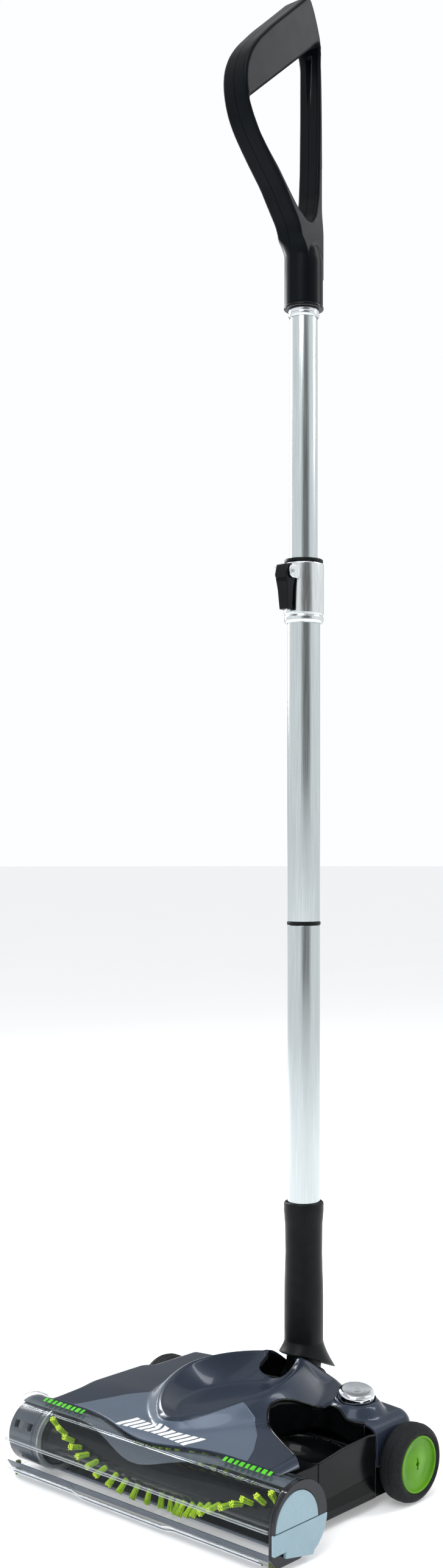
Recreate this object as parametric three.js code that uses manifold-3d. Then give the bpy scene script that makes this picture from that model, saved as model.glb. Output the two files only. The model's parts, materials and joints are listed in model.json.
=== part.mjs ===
// Cordless upright carpet sweeper: a powered brush head with wheels, a telescopic pole and a loop handle.
// Millimetres. +Z is up, -Y is the front, +X is the side that the dirt tray slides out of.
// Everything is laid out around the upright pole, whose axis meets the floor at X = Y = 0.
// The finished group is then moved so that its origin is the middle of its footprint on the floor.
import * as THREE from 'three';
import { mergeVertices } from 'three/addons/utils/BufferGeometryUtils.js';
import Module from 'manifold-3d';

const wasm = await Module();
wasm.setup();

// ---------- Driving dimensions ----------

const GAP = 0.3; // between pieces that rest on each other
const WALL = 2; // moulded housings
const FLOOR_TO_TRAY = 9.5;

// Brush housing: a tube lying across the front
const BRUSH = { y: -161, z: 29.5 };
const HOUSING_R = 26.5;
const HOUSING_HALF = 137;
const CAP_DEPTH = 2.7;
const SEAM_Z = 28;
const FRAME_X = 131.5; // inner face of the right end frame

// Brush
const CORE_R = 11;
const BRISTLE_R = 23.4;
const TUFTS = 24;
const TUFT_R = 2;
const ROW_FROM = -94;
const ROW_TO = 122;
const CHEVRON_TURN = 140; // degrees that a row turns between its middle and an end
const CHEVRON_LOW = -85; // degrees above the front, at the middle of the first row

// Drive
const DRUM_FROM = -133.6;
const DRUM_TO = -101.6;
const DRUM_R = 23;
const BELT = { x: -105.5, width: 5, thick: 1.2 };
const MOTOR = { y: -42, z: 34, r: 13.5, from: -97, to: -62, pulley: 6 };
const BELT_WAY = { from: -110.5, to: -101 }; // openings that the belt runs through
const BRUSH_PULLEY_R = 12;
const SHAFT_R = 3;

// Body
const BODY = { top: 56, crown: 6, left: 122, right: 118, rear: -5, rearMiddle: 9, skirt: 28 };
const SHELL_WALL = 2.2;
const ARCH = { half: 113.4, from: -66, to: -57 }; // the body narrows beside the wheels
const FLOOR = { low: 6, high: 9 };
const DISH = { halfWidth: 42, halfLength: 65, y: -81, depth: 25, power: 1.65 };
const SLOT = { half: 14.7, front: -38, low: 40 };
const RECESS_RIM = 45;

// Dirt tray
const TRAY = { left: -100, front: -117.7, rear: -60, top: 44, scoop: 40, end: 114.8, wall: 2 };

// Wheels
const WHEEL = { x: 115, width: 17.5, r: 27.5, y: -26, hub: 20.2 };

// Power button
const BUTTON = { x: 84, y: -39, z: 68, r: 13.3, lean: 10 };

// Pole and handle
const PIVOT_Z = 53;
const PIN_R = 2.5;
const NECK_R = 13.5;
const SLEEVE = { r: 15.2, low: 84, high: 194 };
const TUBE_R = 12.7;
const TUBE_WALL = 1.5;
const TUBE_LOW = 112;
const JOINT_Z = 409.5;
const JOINT_RING = 2.4;
const COLLAR = { r: 15.5, low: 644, high: 691 };
const UPPER_R = 10.7;
const UPPER_LOW = 640;
const FERRULE = { r: 12, low: 882, high: 889 };
const LEVER = { y: -22.5, z: 682, half: 6.2, pin: 1.4 };
const HANDLE = { low: 889, stem: 15, half: 12, shell: 2.6 };

// Footprint, from the front of the housing to the tail of the sleeve
const FOOTPRINT = { front: -187.5, rear: 28 };

// ---------- Finishes ----------

const FINISH = {
  slate: { color: 0x4a5666, roughness: 0.22, metalness: 0.15 },
  black: { color: 0x15171a, roughness: 0.3, metalness: 0 },
  satin: { color: 0x1c2023, roughness: 0.5, metalness: 0 },
  clear: { color: 0xc9d2d6, roughness: 0.08, metalness: 0, transparent: true, opacity: 0.35 },
  ice: { color: 0x96b2be, roughness: 0.35, metalness: 0 },
  smoke: { color: 0x3a4046, roughness: 0.12, metalness: 0 },
  silver: { color: 0x9aa3ad, roughness: 0.18, metalness: 0.8 },
  aluminium: { color: 0xb9c2c4, roughness: 0.28, metalness: 1 },
  chrome: { color: 0xdfe3e6, roughness: 0.06, metalness: 1 },
  steel: { color: 0x8c9196, roughness: 0.35, metalness: 1 },
  green: { color: 0x7cbf1a, roughness: 0.35, metalness: 0 },
  bristle: { color: 0x8ecb1f, roughness: 0.7, metalness: 0 },
  olive: { color: 0x4f6212, roughness: 0.8, metalness: 0 },
  tyre: { color: 0x17181a, roughness: 0.75, metalness: 0 },
  rubber: { color: 0x202224, roughness: 0.8, metalness: 0 },
  board: { color: 0x1d5a33, roughness: 0.5, metalness: 0 },
};

// ---------- Solids ----------

const rad = THREE.MathUtils.degToRad;
const smooth = (t) => THREE.MathUtils.smoothstep(t, 0, 1);
const WELD = 1e-4;

// A closed geometry as a solid, with its faces turned outwards
function solid(geometry) {
  const flat = geometry.index ? geometry.toNonIndexed() : geometry;
  const bare = new THREE.BufferGeometry().setAttribute('position', flat.getAttribute('position'));
  const merged = mergeVertices(bare, WELD);
  const vertProperties = merged.getAttribute('position').array;
  const kept = [];
  for (let i = 0; i < merged.index.count; i += 3) {
    const corner = merged.index.array.slice(i, i + 3);
    if (new Set(corner).size === 3) kept.push(...corner);
  }
  const build = (corners) =>
    new wasm.Manifold(
      new wasm.Mesh({ numProp: 3, vertProperties, triVerts: new Uint32Array(corners) }),
    );
  const made = build(kept);
  return made.volume() > 0 ? made : build(kept.reverse());
}

// A named mesh of a solid
function part(name, shape, finish) {
  const made = shape.getMesh();
  const geometry = new THREE.BufferGeometry();
  geometry.setAttribute('position', new THREE.BufferAttribute(made.vertProperties, made.numProp));
  geometry.setIndex(new THREE.BufferAttribute(made.triVerts, 1));
  geometry.computeVertexNormals();
  const mesh = new THREE.Mesh(geometry, new THREE.MeshStandardMaterial(FINISH[finish]));
  mesh.name = name;
  return mesh;
}

const union = (shapes) => shapes.reduce((whole, shape) => whole.add(shape));

function box(x0, x1, y0, y1, z0, z1) {
  const geometry = new THREE.BoxGeometry(x1 - x0, y1 - y0, z1 - z0);
  return solid(geometry.translate((x0 + x1) / 2, (y0 + y1) / 2, (z0 + z1) / 2));
}

// A flat outline with straight sides
const outline = (points) => new THREE.Shape(points.map(([a, b]) => new THREE.Vector2(a, b)));

// An outline in X and Y, extruded from one height to another
function plate(shape, z0, z1, curveSegments = 8) {
  const geometry = new THREE.ExtrudeGeometry(shape, {
    depth: z1 - z0,
    bevelEnabled: false,
    curveSegments,
  });
  return solid(geometry.translate(0, 0, z0));
}

// Carries an outline drawn in Y and Z across the object, along X
const ACROSS = new THREE.Matrix4().makeBasis(
  new THREE.Vector3(0, 1, 0),
  new THREE.Vector3(0, 0, 1),
  new THREE.Vector3(1, 0, 0),
);

// An outline in Y and Z, extruded from one X to another
function across(shape, x0, x1, curveSegments = 8) {
  const geometry = new THREE.ExtrudeGeometry(shape, {
    depth: x1 - x0,
    bevelEnabled: false,
    curveSegments,
  });
  return solid(geometry.applyMatrix4(ACROSS).translate(x0, 0, 0));
}

// A profile of [radius, height] pairs turned about the vertical through X = x, Y = y
function turned(profile, segments = 20, x = 0, y = 0) {
  const points = profile.map(([r, h]) => new THREE.Vector2(r, h));
  const geometry = new THREE.LatheGeometry([...points, points[0]], segments);
  return solid(geometry.rotateX(Math.PI / 2).translate(x, y, 0));
}

// A profile of [radius, X] pairs turned about the line along X at the given Y and Z
function spindle(profile, y, z, segments = 20) {
  const points = profile.map(([r, x]) => new THREE.Vector2(r, x));
  const geometry = new THREE.LatheGeometry([...points, points[0]], segments);
  return solid(geometry.rotateZ(-Math.PI / 2).translate(0, y, z));
}

// The profile of a ring or tube with square ends
const ring = (inner, outer, low, high) => [
  [inner, low],
  [outer, low],
  [outer, high],
  [inner, high],
];

const rodX = (r, x0, x1, y, z, segments = 12) => spindle(ring(0, r, x0, x1), y, z, segments);
const rodZ = (r, z0, z1, x, y, segments = 12) => turned(ring(0, r, z0, z1), segments, x, y);

// A closed skin between two surfaces given over the same grid of columns and rows
function skin(outer, inner, columns, rows) {
  const points = [];
  [outer, inner].forEach((surface) => {
    for (let j = 0; j <= rows; j += 1) {
      for (let i = 0; i <= columns; i += 1) points.push(...surface(i / columns, j / rows));
    }
  });
  const layer = (columns + 1) * (rows + 1);
  const at = (i, j, side) => side * layer + j * (columns + 1) + i;
  const corners = [];
  const quad = (a, b, c, d) => corners.push(a, b, c, a, c, d);
  for (let j = 0; j < rows; j += 1) {
    for (let i = 0; i < columns; i += 1) {
      quad(at(i, j, 0), at(i + 1, j, 0), at(i + 1, j + 1, 0), at(i, j + 1, 0));
      quad(at(i, j, 1), at(i, j + 1, 1), at(i + 1, j + 1, 1), at(i + 1, j, 1));
    }
  }
  for (let i = 0; i < columns; i += 1) {
    quad(at(i, 0, 0), at(i, 0, 1), at(i + 1, 0, 1), at(i + 1, 0, 0));
    quad(at(i, rows, 0), at(i + 1, rows, 0), at(i + 1, rows, 1), at(i, rows, 1));
  }
  for (let j = 0; j < rows; j += 1) {
    quad(at(0, j, 0), at(0, j + 1, 0), at(0, j + 1, 1), at(0, j, 1));
    quad(at(columns, j, 0), at(columns, j, 1), at(columns, j + 1, 1), at(columns, j + 1, 0));
  }
  const geometry = new THREE.BufferGeometry();
  geometry.setAttribute('position', new THREE.Float32BufferAttribute(points, 3));
  geometry.setIndex(corners);
  return solid(geometry);
}

// ---------- Brush housing ----------

// A point on the housing tube: degrees above the front, X and radius
function onHousing(degrees, x, r) {
  return [x, BRUSH.y - r * Math.cos(rad(degrees)), BRUSH.z + r * Math.sin(rad(degrees))];
}

// The line in plan where the window meets the bonnet: it dips forward in the middle
const FRONT_DIP = { half: 75, depth: 13 };
function bonnetFront(x) {
  const t = Math.min(1, Math.abs(x) / FRONT_DIP.half);
  return BRUSH.y + 1 - FRONT_DIP.depth * (1 + Math.cos(Math.PI * t)) / 2;
}

// Everything behind that line: between the two ends that the window wraps, then as wide as the body
const HOOD_X = 119.5;
const HOOD_REAR = -133.9;
function behindFront(margin) {
  const steps = 20;
  const half = HOOD_X - margin;
  const points = [];
  for (let i = 0; i <= steps; i += 1) {
    const x = -half + (2 * half * i) / steps;
    points.push([x, bonnetFront(x) + margin]);
  }
  [1, -1].forEach((side) => {
    const corners = [
      [side * half, HOOD_REAR],
      [side * 130, HOOD_REAR],
      [side * 130, 60],
    ];
    points.push(...(side > 0 ? corners : corners.reverse()));
  });
  return plate(outline(points), 0, 200);
}

function windowUpper() {
  const low = THREE.MathUtils.radToDeg(Math.asin((SEAM_Z + GAP - BRUSH.z) / HOUSING_R));
  const high = 178;
  const from = -HOUSING_HALF + CAP_DEPTH + GAP;
  const to = FRAME_X - GAP;
  const face = (r) => (u, v) => onHousing(low + (high - low) * v, from + (to - from) * u, r);
  return skin(face(HOUSING_R), face(HOUSING_R - WALL), 1, 22).subtract(behindFront(-GAP));
}

const EDGE_TUFT = { x: 127, y: BRUSH.y - 18.5, r: 2.5 };

// The clear apron below the seam: straight down, then turned back into a double lip
const LIP = { front: -187.5, turn: -184, back: -175, low: 3.4, bend: 11 };
function windowLower() {
  const shape = outline([
    [LIP.front, SEAM_Z],
    [LIP.front, LIP.bend],
    [LIP.turn, LIP.low + 1.6],
    [LIP.turn + 2, LIP.low],
    [LIP.back, LIP.low],
    [LIP.back, LIP.low + WALL],
    [LIP.turn + 3.4, LIP.low + WALL],
    [LIP.front + WALL, LIP.bend + 1],
    [LIP.front + WALL, SEAM_Z],
  ]);
  const apron = across(shape, -HOUSING_HALF + CAP_DEPTH + GAP, FRAME_X - GAP);
  const holes = [-EDGE_TUFT.x, EDGE_TUFT.x].map((x) =>
    rodZ(EDGE_TUFT.r + GAP, 0, 20, x, EDGE_TUFT.y, 8),
  );
  return apron.subtract(holes[0]).subtract(holes[1]);
}

// The outline of a housing end in Y and Z: a tube above, an apron below at the front
function endOutline(r) {
  const shape = new THREE.Shape();
  const front = BRUSH.y - r;
  shape.moveTo(front, BRUSH.z);
  shape.absarc(BRUSH.y, BRUSH.z, r, Math.PI, rad(-60), true);
  shape.lineTo(BRUSH.y + 2, LIP.low);
  shape.lineTo(front + 6, LIP.low);
  shape.lineTo(front, LIP.bend);
  return shape;
}

const BUSH = { r: 7, hole: 7.3 };
function endFrameRight() {
  const hole = rodX(BUSH.hole, FRAME_X - 1, HOUSING_HALF, BRUSH.y, BRUSH.z);
  return across(endOutline(HOUSING_R), FRAME_X, HOUSING_HALF - CAP_DEPTH - GAP).subtract(hole);
}

// The right cap is two plates, split at the seam; the lower one has a notch for the edge tuft
const UPPER_CAP = { y: -164.8, half: 21.3, high: 22.5 };
function capRightUpper() {
  const shape = new THREE.Shape();
  shape.absellipse(UPPER_CAP.y, SEAM_Z + GAP, UPPER_CAP.half, UPPER_CAP.high, 0, Math.PI);
  return across(shape, HOUSING_HALF - CAP_DEPTH, HOUSING_HALF, 10);
}

const NOTCH = { y: -176, high: 14 };
function capRightLower() {
  const shape = new THREE.Shape();
  shape.moveTo(BRUSH.y - HOUSING_R, SEAM_Z - GAP);
  shape.lineTo(BRUSH.y - HOUSING_R, NOTCH.high);
  shape.lineTo(NOTCH.y, NOTCH.high);
  shape.lineTo(NOTCH.y, 9.7);
  shape.lineTo(-149, 4);
  shape.absarc(BRUSH.y, BRUSH.z, HOUSING_R, rad(-60), rad(-5), false);
  shape.lineTo(BRUSH.y + HOUSING_R, SEAM_Z - GAP);
  return across(shape, HOUSING_HALF - CAP_DEPTH, HOUSING_HALF, 6);
}

function capLeft() {
  return across(endOutline(HOUSING_R), -HOUSING_HALF, -HOUSING_HALF + CAP_DEPTH);
}

// The trough closes the tube behind and below the brush; dirt leaves through its mouth
const TROUGH = { from: -85, to: 60, mouthLow: -18, mouthHigh: 25, mouthHalf: 98 };
function trough() {
  const x0 = -HOUSING_HALF + CAP_DEPTH + GAP;
  const x1 = FRAME_X - GAP;
  const face = (r) => (u, v) =>
    onHousing(180 - TROUGH.from - (TROUGH.to - TROUGH.from) * v, x0 + (x1 - x0) * u, r);
  const behind = (a) => BRUSH.z + HOUSING_R * Math.sin(rad(a));
  const mouth = box(
    -TROUGH.mouthHalf,
    TROUGH.mouthHalf,
    BRUSH.y,
    BRUSH.y + 40,
    behind(TROUGH.mouthLow),
    behind(TROUGH.mouthHigh),
  );
  const beltWay = box(BELT_WAY.from, BELT_WAY.to, BRUSH.y, BRUSH.y + 40, 15, 45);
  const ends = [-1, 1].map((side) => {
    const middle = side * (HOOD_X + 20);
    return box(middle - 20.6, middle + 20.6, BRUSH.y - 30, BRUSH.y + 40, SEAM_Z, 60);
  });
  return [mouth, beltWay, ...ends].reduce(
    (rest, cut) => rest.subtract(cut),
    skin(face(HOUSING_R), face(HOUSING_R - WALL), 1, 16),
  );
}

const edgeTuft = (x) => rodZ(EDGE_TUFT.r, 1.2, NOTCH.high - 3, x, EDGE_TUFT.y, 8);

// ---------- Brush ----------

function brushCore() {
  return spindle(
    [
      [0, -130.8],
      [SHAFT_R, -130.8],
      [SHAFT_R, DRUM_TO + GAP],
      [18, DRUM_TO + GAP],
      [18, DRUM_TO + 3],
      [15, DRUM_TO + 4],
      [CORE_R, DRUM_TO + 4.5],
      [CORE_R, 128],
      [SHAFT_R, 128],
      [SHAFT_R, 133],
      [0, 133],
    ],
    BRUSH.y,
    BRUSH.z,
  );
}

// Degrees above the front of a row at X; the second row is half a turn on
function rowAngle(x, row) {
  const middle = (ROW_FROM + ROW_TO) / 2;
  const t = Math.abs(x - middle) / ((ROW_TO - ROW_FROM) / 2);
  return CHEVRON_LOW + CHEVRON_TURN * t + 180 * row;
}

// A moulded strip that follows the chevron, with a tuft standing out of it at each pitch
function bristleRow(row) {
  const spread = 11;
  const strip = (r) => (u, v) => {
    const x = ROW_FROM - 3 + (ROW_TO - ROW_FROM + 6) * u;
    return onHousing(rowAngle(x, row) + spread * (2 * v - 1), x, r);
  };
  const pieces = [skin(strip(CORE_R + 1.7), strip(CORE_R + 0.9), 14, 1)];
  const low = CORE_R + 1;
  for (let i = 0; i < TUFTS; i += 1) {
    const x = ROW_FROM + ((ROW_TO - ROW_FROM) * i) / (TUFTS - 1);
    const [, y, z] = onHousing(rowAngle(x, row), x, 1);
    const out = new THREE.Vector3(0, y - BRUSH.y, z - BRUSH.z);
    const turn = new THREE.Quaternion().setFromUnitVectors(new THREE.Vector3(0, 1, 0), out);
    const tuft = new THREE.CylinderGeometry(TUFT_R, TUFT_R * 0.9, BRISTLE_R - low, 4);
    tuft.translate(0, (BRISTLE_R + low) / 2, 0);
    pieces.push(solid(tuft.applyQuaternion(turn).translate(x, BRUSH.y, BRUSH.z)));
  }
  return union(pieces);
}

// ---------- Drive ----------

function driveDrum() {
  const cup = spindle(
    [
      [BUSH.hole, DRUM_FROM],
      [DRUM_R, DRUM_FROM],
      [DRUM_R, DRUM_TO],
      [DRUM_R - WALL, DRUM_TO],
      [DRUM_R - WALL, DRUM_FROM + WALL],
      [BUSH.hole, DRUM_FROM + WALL],
    ],
    BRUSH.y,
    BRUSH.z,
    32,
  );
  const beltWay = box(BELT_WAY.from, BELT_WAY.to, BRUSH.y, BRUSH.y + 40, 15, 45);
  const slots = [-129, -113].map((x) => box(x, x + 4, BRUSH.y - 30, BRUSH.y - 14, 38, 42));
  return [beltWay, ...slots].reduce((rest, cut) => rest.subtract(cut), cup);
}

const bush = (x0, x1) => spindle(ring(SHAFT_R + 0.1, BUSH.r, x0, x1), BRUSH.y, BRUSH.z, 14);

function pulley(r, y, z) {
  const low = BELT.x - BELT.width / 2;
  const high = BELT.x + BELT.width / 2;
  return spindle(
    [
      [SHAFT_R + GAP, low - 1],
      [r + 1.5, low - 1],
      [r, low],
      [r, high],
      [r + 1.5, high + 1],
      [SHAFT_R + GAP, high + 1],
    ],
    y,
    z,
  );
}

// The belt: two straight runs between the pulleys and an arc round each
function beltOutline(extra) {
  const from = new THREE.Vector2(BRUSH.y, BRUSH.z);
  const to = new THREE.Vector2(MOTOR.y, MOTOR.z);
  const line = to.clone().sub(from);
  const lean = Math.asin((BRUSH_PULLEY_R - MOTOR.pulley) / line.length());
  const along = line.angle();
  const shape = new THREE.Shape();
  shape.absarc(from.x, from.y, BRUSH_PULLEY_R + extra, along + Math.PI / 2 - lean,
    along - Math.PI / 2 + lean, false);
  shape.absarc(to.x, to.y, MOTOR.pulley + extra, along - Math.PI / 2 + lean,
    along + Math.PI / 2 - lean, false);
  return shape;
}

function belt() {
  const shape = beltOutline(GAP + BELT.thick);
  shape.holes.push(new THREE.Path(beltOutline(GAP).getPoints(8)));
  return across(shape, BELT.x - BELT.width / 2 + GAP, BELT.x + BELT.width / 2 - GAP, 8);
}

function motor() {
  return spindle(
    [
      [0, BELT.x - BELT.width / 2 - 1],
      [SHAFT_R, BELT.x - BELT.width / 2 - 1],
      [SHAFT_R, MOTOR.from - 3],
      [5, MOTOR.from - 3],
      [5, MOTOR.from],
      [MOTOR.r, MOTOR.from],
      [MOTOR.r, MOTOR.to],
      [5, MOTOR.to],
      [5, MOTOR.to + 3],
      [0, MOTOR.to + 3],
    ],
    MOTOR.y,
    MOTOR.z,
  );
}

// Cells in two layers, wrapped in one sleeve
const BATTERY = { cell: 7.2, left: 32, right: 96, front: -49, rear: -12 };

function batteryPack() {
  const { cell, left, right, front: y0, rear: y1 } = BATTERY;
  const shape = new THREE.Shape();
  const z0 = FLOOR.high + GAP;
  const z1 = z0 + 4 * cell;
  shape.moveTo(y0 + cell, z0);
  shape.lineTo(y1 - cell, z0);
  shape.absarc(y1 - cell, z0 + cell, cell, -Math.PI / 2, 0, false);
  shape.absarc(y1 - cell, z1 - cell, cell, 0, Math.PI / 2, false);
  shape.absarc(y0 + cell, z1 - cell, cell, Math.PI / 2, Math.PI, false);
  shape.absarc(y0 + cell, z0 + cell, cell, Math.PI, 1.5 * Math.PI, false);
  return across(shape, left, right, 4);
}

function circuitBoard() {
  const board = box(-56, -22, -52, -14, 14, 15.6);
  const posts = [-52, -26].flatMap((x) =>
    [-48, -18].map((y) => rodZ(2, FLOOR.high + GAP, 14.5, x, y, 8)),
  );
  return union([board, ...posts]);
}

function chargingSocket() {
  const body = box(-44, -34, -12, -4.6, 17, 28);
  return body.subtract(solid(new THREE.CylinderGeometry(3, 3, 12, 12).translate(-39, -5, 22.5)));
}

// ---------- Bonnet ----------

// Distance rules for the dish: 0 in its middle, 1 on its rim
function dishReach(x, y) {
  const a = Math.abs(x) / DISH.halfWidth;
  const b = Math.abs(y - DISH.y) / DISH.halfLength;
  return (a ** DISH.power + b ** DISH.power) ** (1 / DISH.power);
}

// Height of the dish's rim: low in front, high behind
function rimHeight(y) {
  const q = THREE.MathUtils.clamp((y - DISH.y) / DISH.halfLength, -1, 1);
  return 78.4 + 7 * q - 6.4 * q * q;
}

// The plain bonnet: it leaves the housing tube and crowns gently
function crownHeight(x, y) {
  if (y < BRUSH.y) return BRUSH.z + Math.sqrt(HOUSING_R ** 2 - (y - BRUSH.y) ** 2);
  const fall = 1 - 0.7 * (x / 115) ** 2;
  return BODY.top + BODY.crown * smooth((y - BRUSH.y) / 50) * Math.max(0, fall);
}

// Height of the bonnet's outer face: crown, dish and rim, ridges beside the neck, button boss
function bonnetHeight(x, y) {
  const crown = crownHeight(x, y);
  const reach = dishReach(x, y);
  const rim = rimHeight(y);
  let height;
  if (reach < 1) {
    height = rim - DISH.depth * (1 - reach ** 2.2);
  } else {
    const distance = (Math.hypot(x, y - DISH.y) * (reach - 1)) / reach;
    const frontness = THREE.MathUtils.clamp((DISH.y - y) / DISH.halfLength, 0, 1) ** 2;
    const slope = THREE.MathUtils.lerp(24, 12, frontness);
    height = crown + (rim - crown) * (1 - smooth(distance / slope));
  }
  const ridge = 80 - 20 * smooth((y + 26) / 40);
  const beside = (1 - smooth((Math.abs(x) - 17) / 20)) * smooth((y + 36) / 12);
  height = Math.max(height, crown + (ridge - crown) * beside);
  const boss = 1 - smooth((Math.hypot(x - BUTTON.x, y - BUTTON.y) - 15) / 9);
  return Math.max(height, crown + (BUTTON.z - 1 - crown) * boss);
}

// Half width of the body: it clears the housing's hoods in front and the wheels behind
function bodyHalf(full, y) {
  const front = THREE.MathUtils.lerp(HOOD_X - 0.7, full, smooth((y + 134) / 24));
  return THREE.MathUtils.lerp(Math.min(full, front), ARCH.half, smooth((y - ARCH.from) / 9));
}

// The bonnet's edge curls down into a wall at the sides and the rear, round one corner between them
const CURL_R = 11;
const EDGE_RUN = 40; // how far the sheet runs on past the start of the curl
function bonnetPoint(u, v) {
  const t = 2 * u - 1;
  const spread = 0.55 * t + 0.45 * t ** 3;
  const front = bonnetFront(0);
  const yPath = front + (BODY.rear + EDGE_RUN - front) * v;
  const middle = 1 - smooth((Math.abs(spread) * BODY.left - 20) / 30);
  const lastY = THREE.MathUtils.lerp(BODY.rear, BODY.rearMiddle, middle) - CURL_R;
  const flatY = Math.min(yPath, lastY);
  const half = bodyHalf(t < 0 ? BODY.left : BODY.right, flatY);
  const xPath = Math.abs(spread) * (half + EDGE_RUN - CURL_R);
  const flatX = Math.min(xPath, half - CURL_R);
  const over = new THREE.Vector2(xPath - flatX, yPath - flatY);
  const angle = Math.min(over.length() / CURL_R, Math.PI / 2);
  const drop = CURL_R * (1 - Math.cos(angle)) + Math.max(0, over.length() - (CURL_R * Math.PI) / 2);
  over.setLength(CURL_R * Math.sin(angle));
  const x = Math.sign(t) * (flatX + over.x);
  const y = flatY + over.y;
  return new THREE.Vector3(x, y, bonnetHeight(x, y) - drop);
}

// The recess in the right side, in plan, from the front round to the rear
const RECESS = [
  [128, -146],
  [107, -133],
  [88, -124],
  [71, -115],
  [57, -105],
  [51, -97],
  [51, -89],
  [53, -80],
  [56, -68],
  [60, -57],
  [68, -54],
  [82, -57],
  [96, -60],
  [112, -52],
  [128, -46],
];
const RECESS_STEPS = 42;

// The recess's outline, moved outwards by a margin
function recessOutline(margin) {
  const curve = new THREE.CatmullRomCurve3(RECESS.map(([x, y]) => new THREE.Vector3(x, y, 0)));
  const points = [];
  for (let i = 0; i <= RECESS_STEPS; i += 1) {
    const at = curve.getPoint(i / RECESS_STEPS);
    const along = curve.getTangent(i / RECESS_STEPS);
    points.push([at.x - along.y * margin, at.y + along.x * margin]);
  }
  return points;
}

function bonnet() {
  const columns = 30;
  const rows = 24;
  const step = 1e-3;
  const outer = (u, v) => bonnetPoint(u, v).toArray();
  const inner = (u, v) => {
    const at = bonnetPoint(u, v);
    const du = bonnetPoint(Math.min(1, u + step), v).sub(bonnetPoint(Math.max(0, u - step), v));
    const dv = bonnetPoint(u, Math.min(1, v + step)).sub(bonnetPoint(u, Math.max(0, v - step)));
    return at.sub(du.cross(dv).normalize().multiplyScalar(SHELL_WALL)).toArray();
  };
  const slot = box(-SLOT.half, SLOT.half, SLOT.front, 40, SLOT.low, 120);
  const besideHousing = [-1, 1].map((side) => {
    const middle = side * 125;
    return box(middle - 20, middle + 20, -162, BRUSH.y + HOUSING_R + 0.8, 0, 53);
  });
  const cuts = [
    plate(outline(recessOutline(0)), 0, 120),
    slot,
    ...besideHousing,
    rodX(SHAFT_R + 1, -140, 140, WHEEL.y, WHEEL.r),
    box(-200, 200, -200, 60, -200, BODY.skirt),
    placed(rodZ(BUTTON.r + 0.7, -30, 30, 0, 0, 20), buttonPlace()),
  ];
  return cuts.reduce(
    (rest, cut) => rest.subtract(cut),
    skin(outer, inner, columns, rows).intersect(behindFront(GAP)),
  );
}

// ---------- Chassis ----------

const CORNER = 7; // chamfer inside the bonnet's rear corners

// Plan outline of the chassis, drawn in by a margin; it bulges behind the tilt bracket
function chassisOutline(margin) {
  const wide = BODY.left - SHELL_WALL - 3.8 - margin;
  const narrow = ARCH.half - SHELL_WALL - GAP - margin;
  const front = -133 + margin;
  const waist = ARCH.from - 2;
  const rear = BODY.rear - SHELL_WALL - 1 - margin;
  const bulge = [
    [50, rear],
    [34, rear + 6.8],
    [24, rear + 14],
  ];
  return outline([
    [-wide, front],
    [-wide, waist],
    [-narrow, ARCH.to - 1],
    [-narrow, rear - CORNER],
    [CORNER - narrow, rear],
    ...bulge.map(([x, y]) => [-x, y]),
    ...bulge.reverse(),
    [narrow - CORNER, rear],
    [narrow, rear - CORNER],
    [narrow, front],
  ]);
}

const AXLE_BLOCK = { from: 102, half: 6, high: 36 };
function chassis() {
  const floor = plate(chassisOutline(0), FLOOR.low, FLOOR.high);
  const walls = plate(chassisOutline(0), FLOOR.high - 0.5, 38).subtract(
    plate(chassisOutline(1.6), 0, 60),
  );
  const blocks = [-1, 1].map((side) => {
    const [x0, x1] = [side * AXLE_BLOCK.from, side * (ARCH.half - 3)].sort((a, b) => a - b);
    return box(x0, x1, WHEEL.y - AXLE_BLOCK.half, WHEEL.y + AXLE_BLOCK.half, FLOOR.low, AXLE_BLOCK.high);
  });
  const body = union([floor, walls, ...blocks]);
  const axles = rodX(SHAFT_R + GAP, -140, 140, WHEEL.y, WHEEL.r);
  const housing = rodX(HOUSING_R + 0.6, -150, 150, BRUSH.y, BRUSH.z, 48);
  const trayWay = box(100, 130, TRAY.front - GAP, -53.5, FLOOR.high, 60);
  const mouth = box(TRAY.left, 120, -140, -128, 15, 60);
  const beltWay = box(BELT_WAY.from, BELT_WAY.to, -140, -128, 15, 60);
  const screws = SCREWS.map(([x, y]) => rodZ(SCREW.hole, 0, 20, x, y, 10));
  const socket = box(-44 - GAP, -34 + GAP, -20, 10, 17 - GAP, 28 + GAP);
  const niche = box(-SLOT.half, SLOT.half, -20, 10, 34, 60);
  return [axles, housing, trayWay, mouth, beltWay, socket, niche, ...screws].reduce(
    (rest, cut) => rest.subtract(cut),
    body,
  );
}

const SCREWS = [
  [-78, -124],
  [78, -124],
  [-99, -13],
  [99, -13],
];

const SCREW = { head: 3.4, shank: 1.5, hole: 1.9, proud: 2.2, reach: 6 };

function baseScrew(x, y) {
  return turned(
    [
      [0, FLOOR.low - SCREW.proud],
      [SCREW.head, FLOOR.low - SCREW.proud],
      [SCREW.head, FLOOR.low - GAP],
      [SCREW.shank, FLOOR.low - GAP],
      [SCREW.shank, FLOOR.high + SCREW.reach],
      [0, FLOOR.high + SCREW.reach],
    ],
    8,
    x,
    y,
  );
}

// A skid under each front corner, on which the head rests ahead of its wheels
const PAD = { half: 9, front: -130, rear: -116, cornerHigh: 2.5, cornerLong: 3.5 };

function glidePad(x) {
  const { half, front, rear, cornerHigh, cornerLong } = PAD;
  const shape = new THREE.Shape();
  const top = FLOOR.low - GAP;
  shape.moveTo(front, top);
  shape.lineTo(front, cornerHigh);
  shape.quadraticCurveTo(front, 0, front + cornerLong, 0);
  shape.lineTo(rear - cornerLong, 0);
  shape.quadraticCurveTo(rear, 0, rear, cornerHigh);
  shape.lineTo(rear, top);
  return across(shape, x - half, x + half, 4);
}

// ---------- Dirt tray ----------

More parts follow.
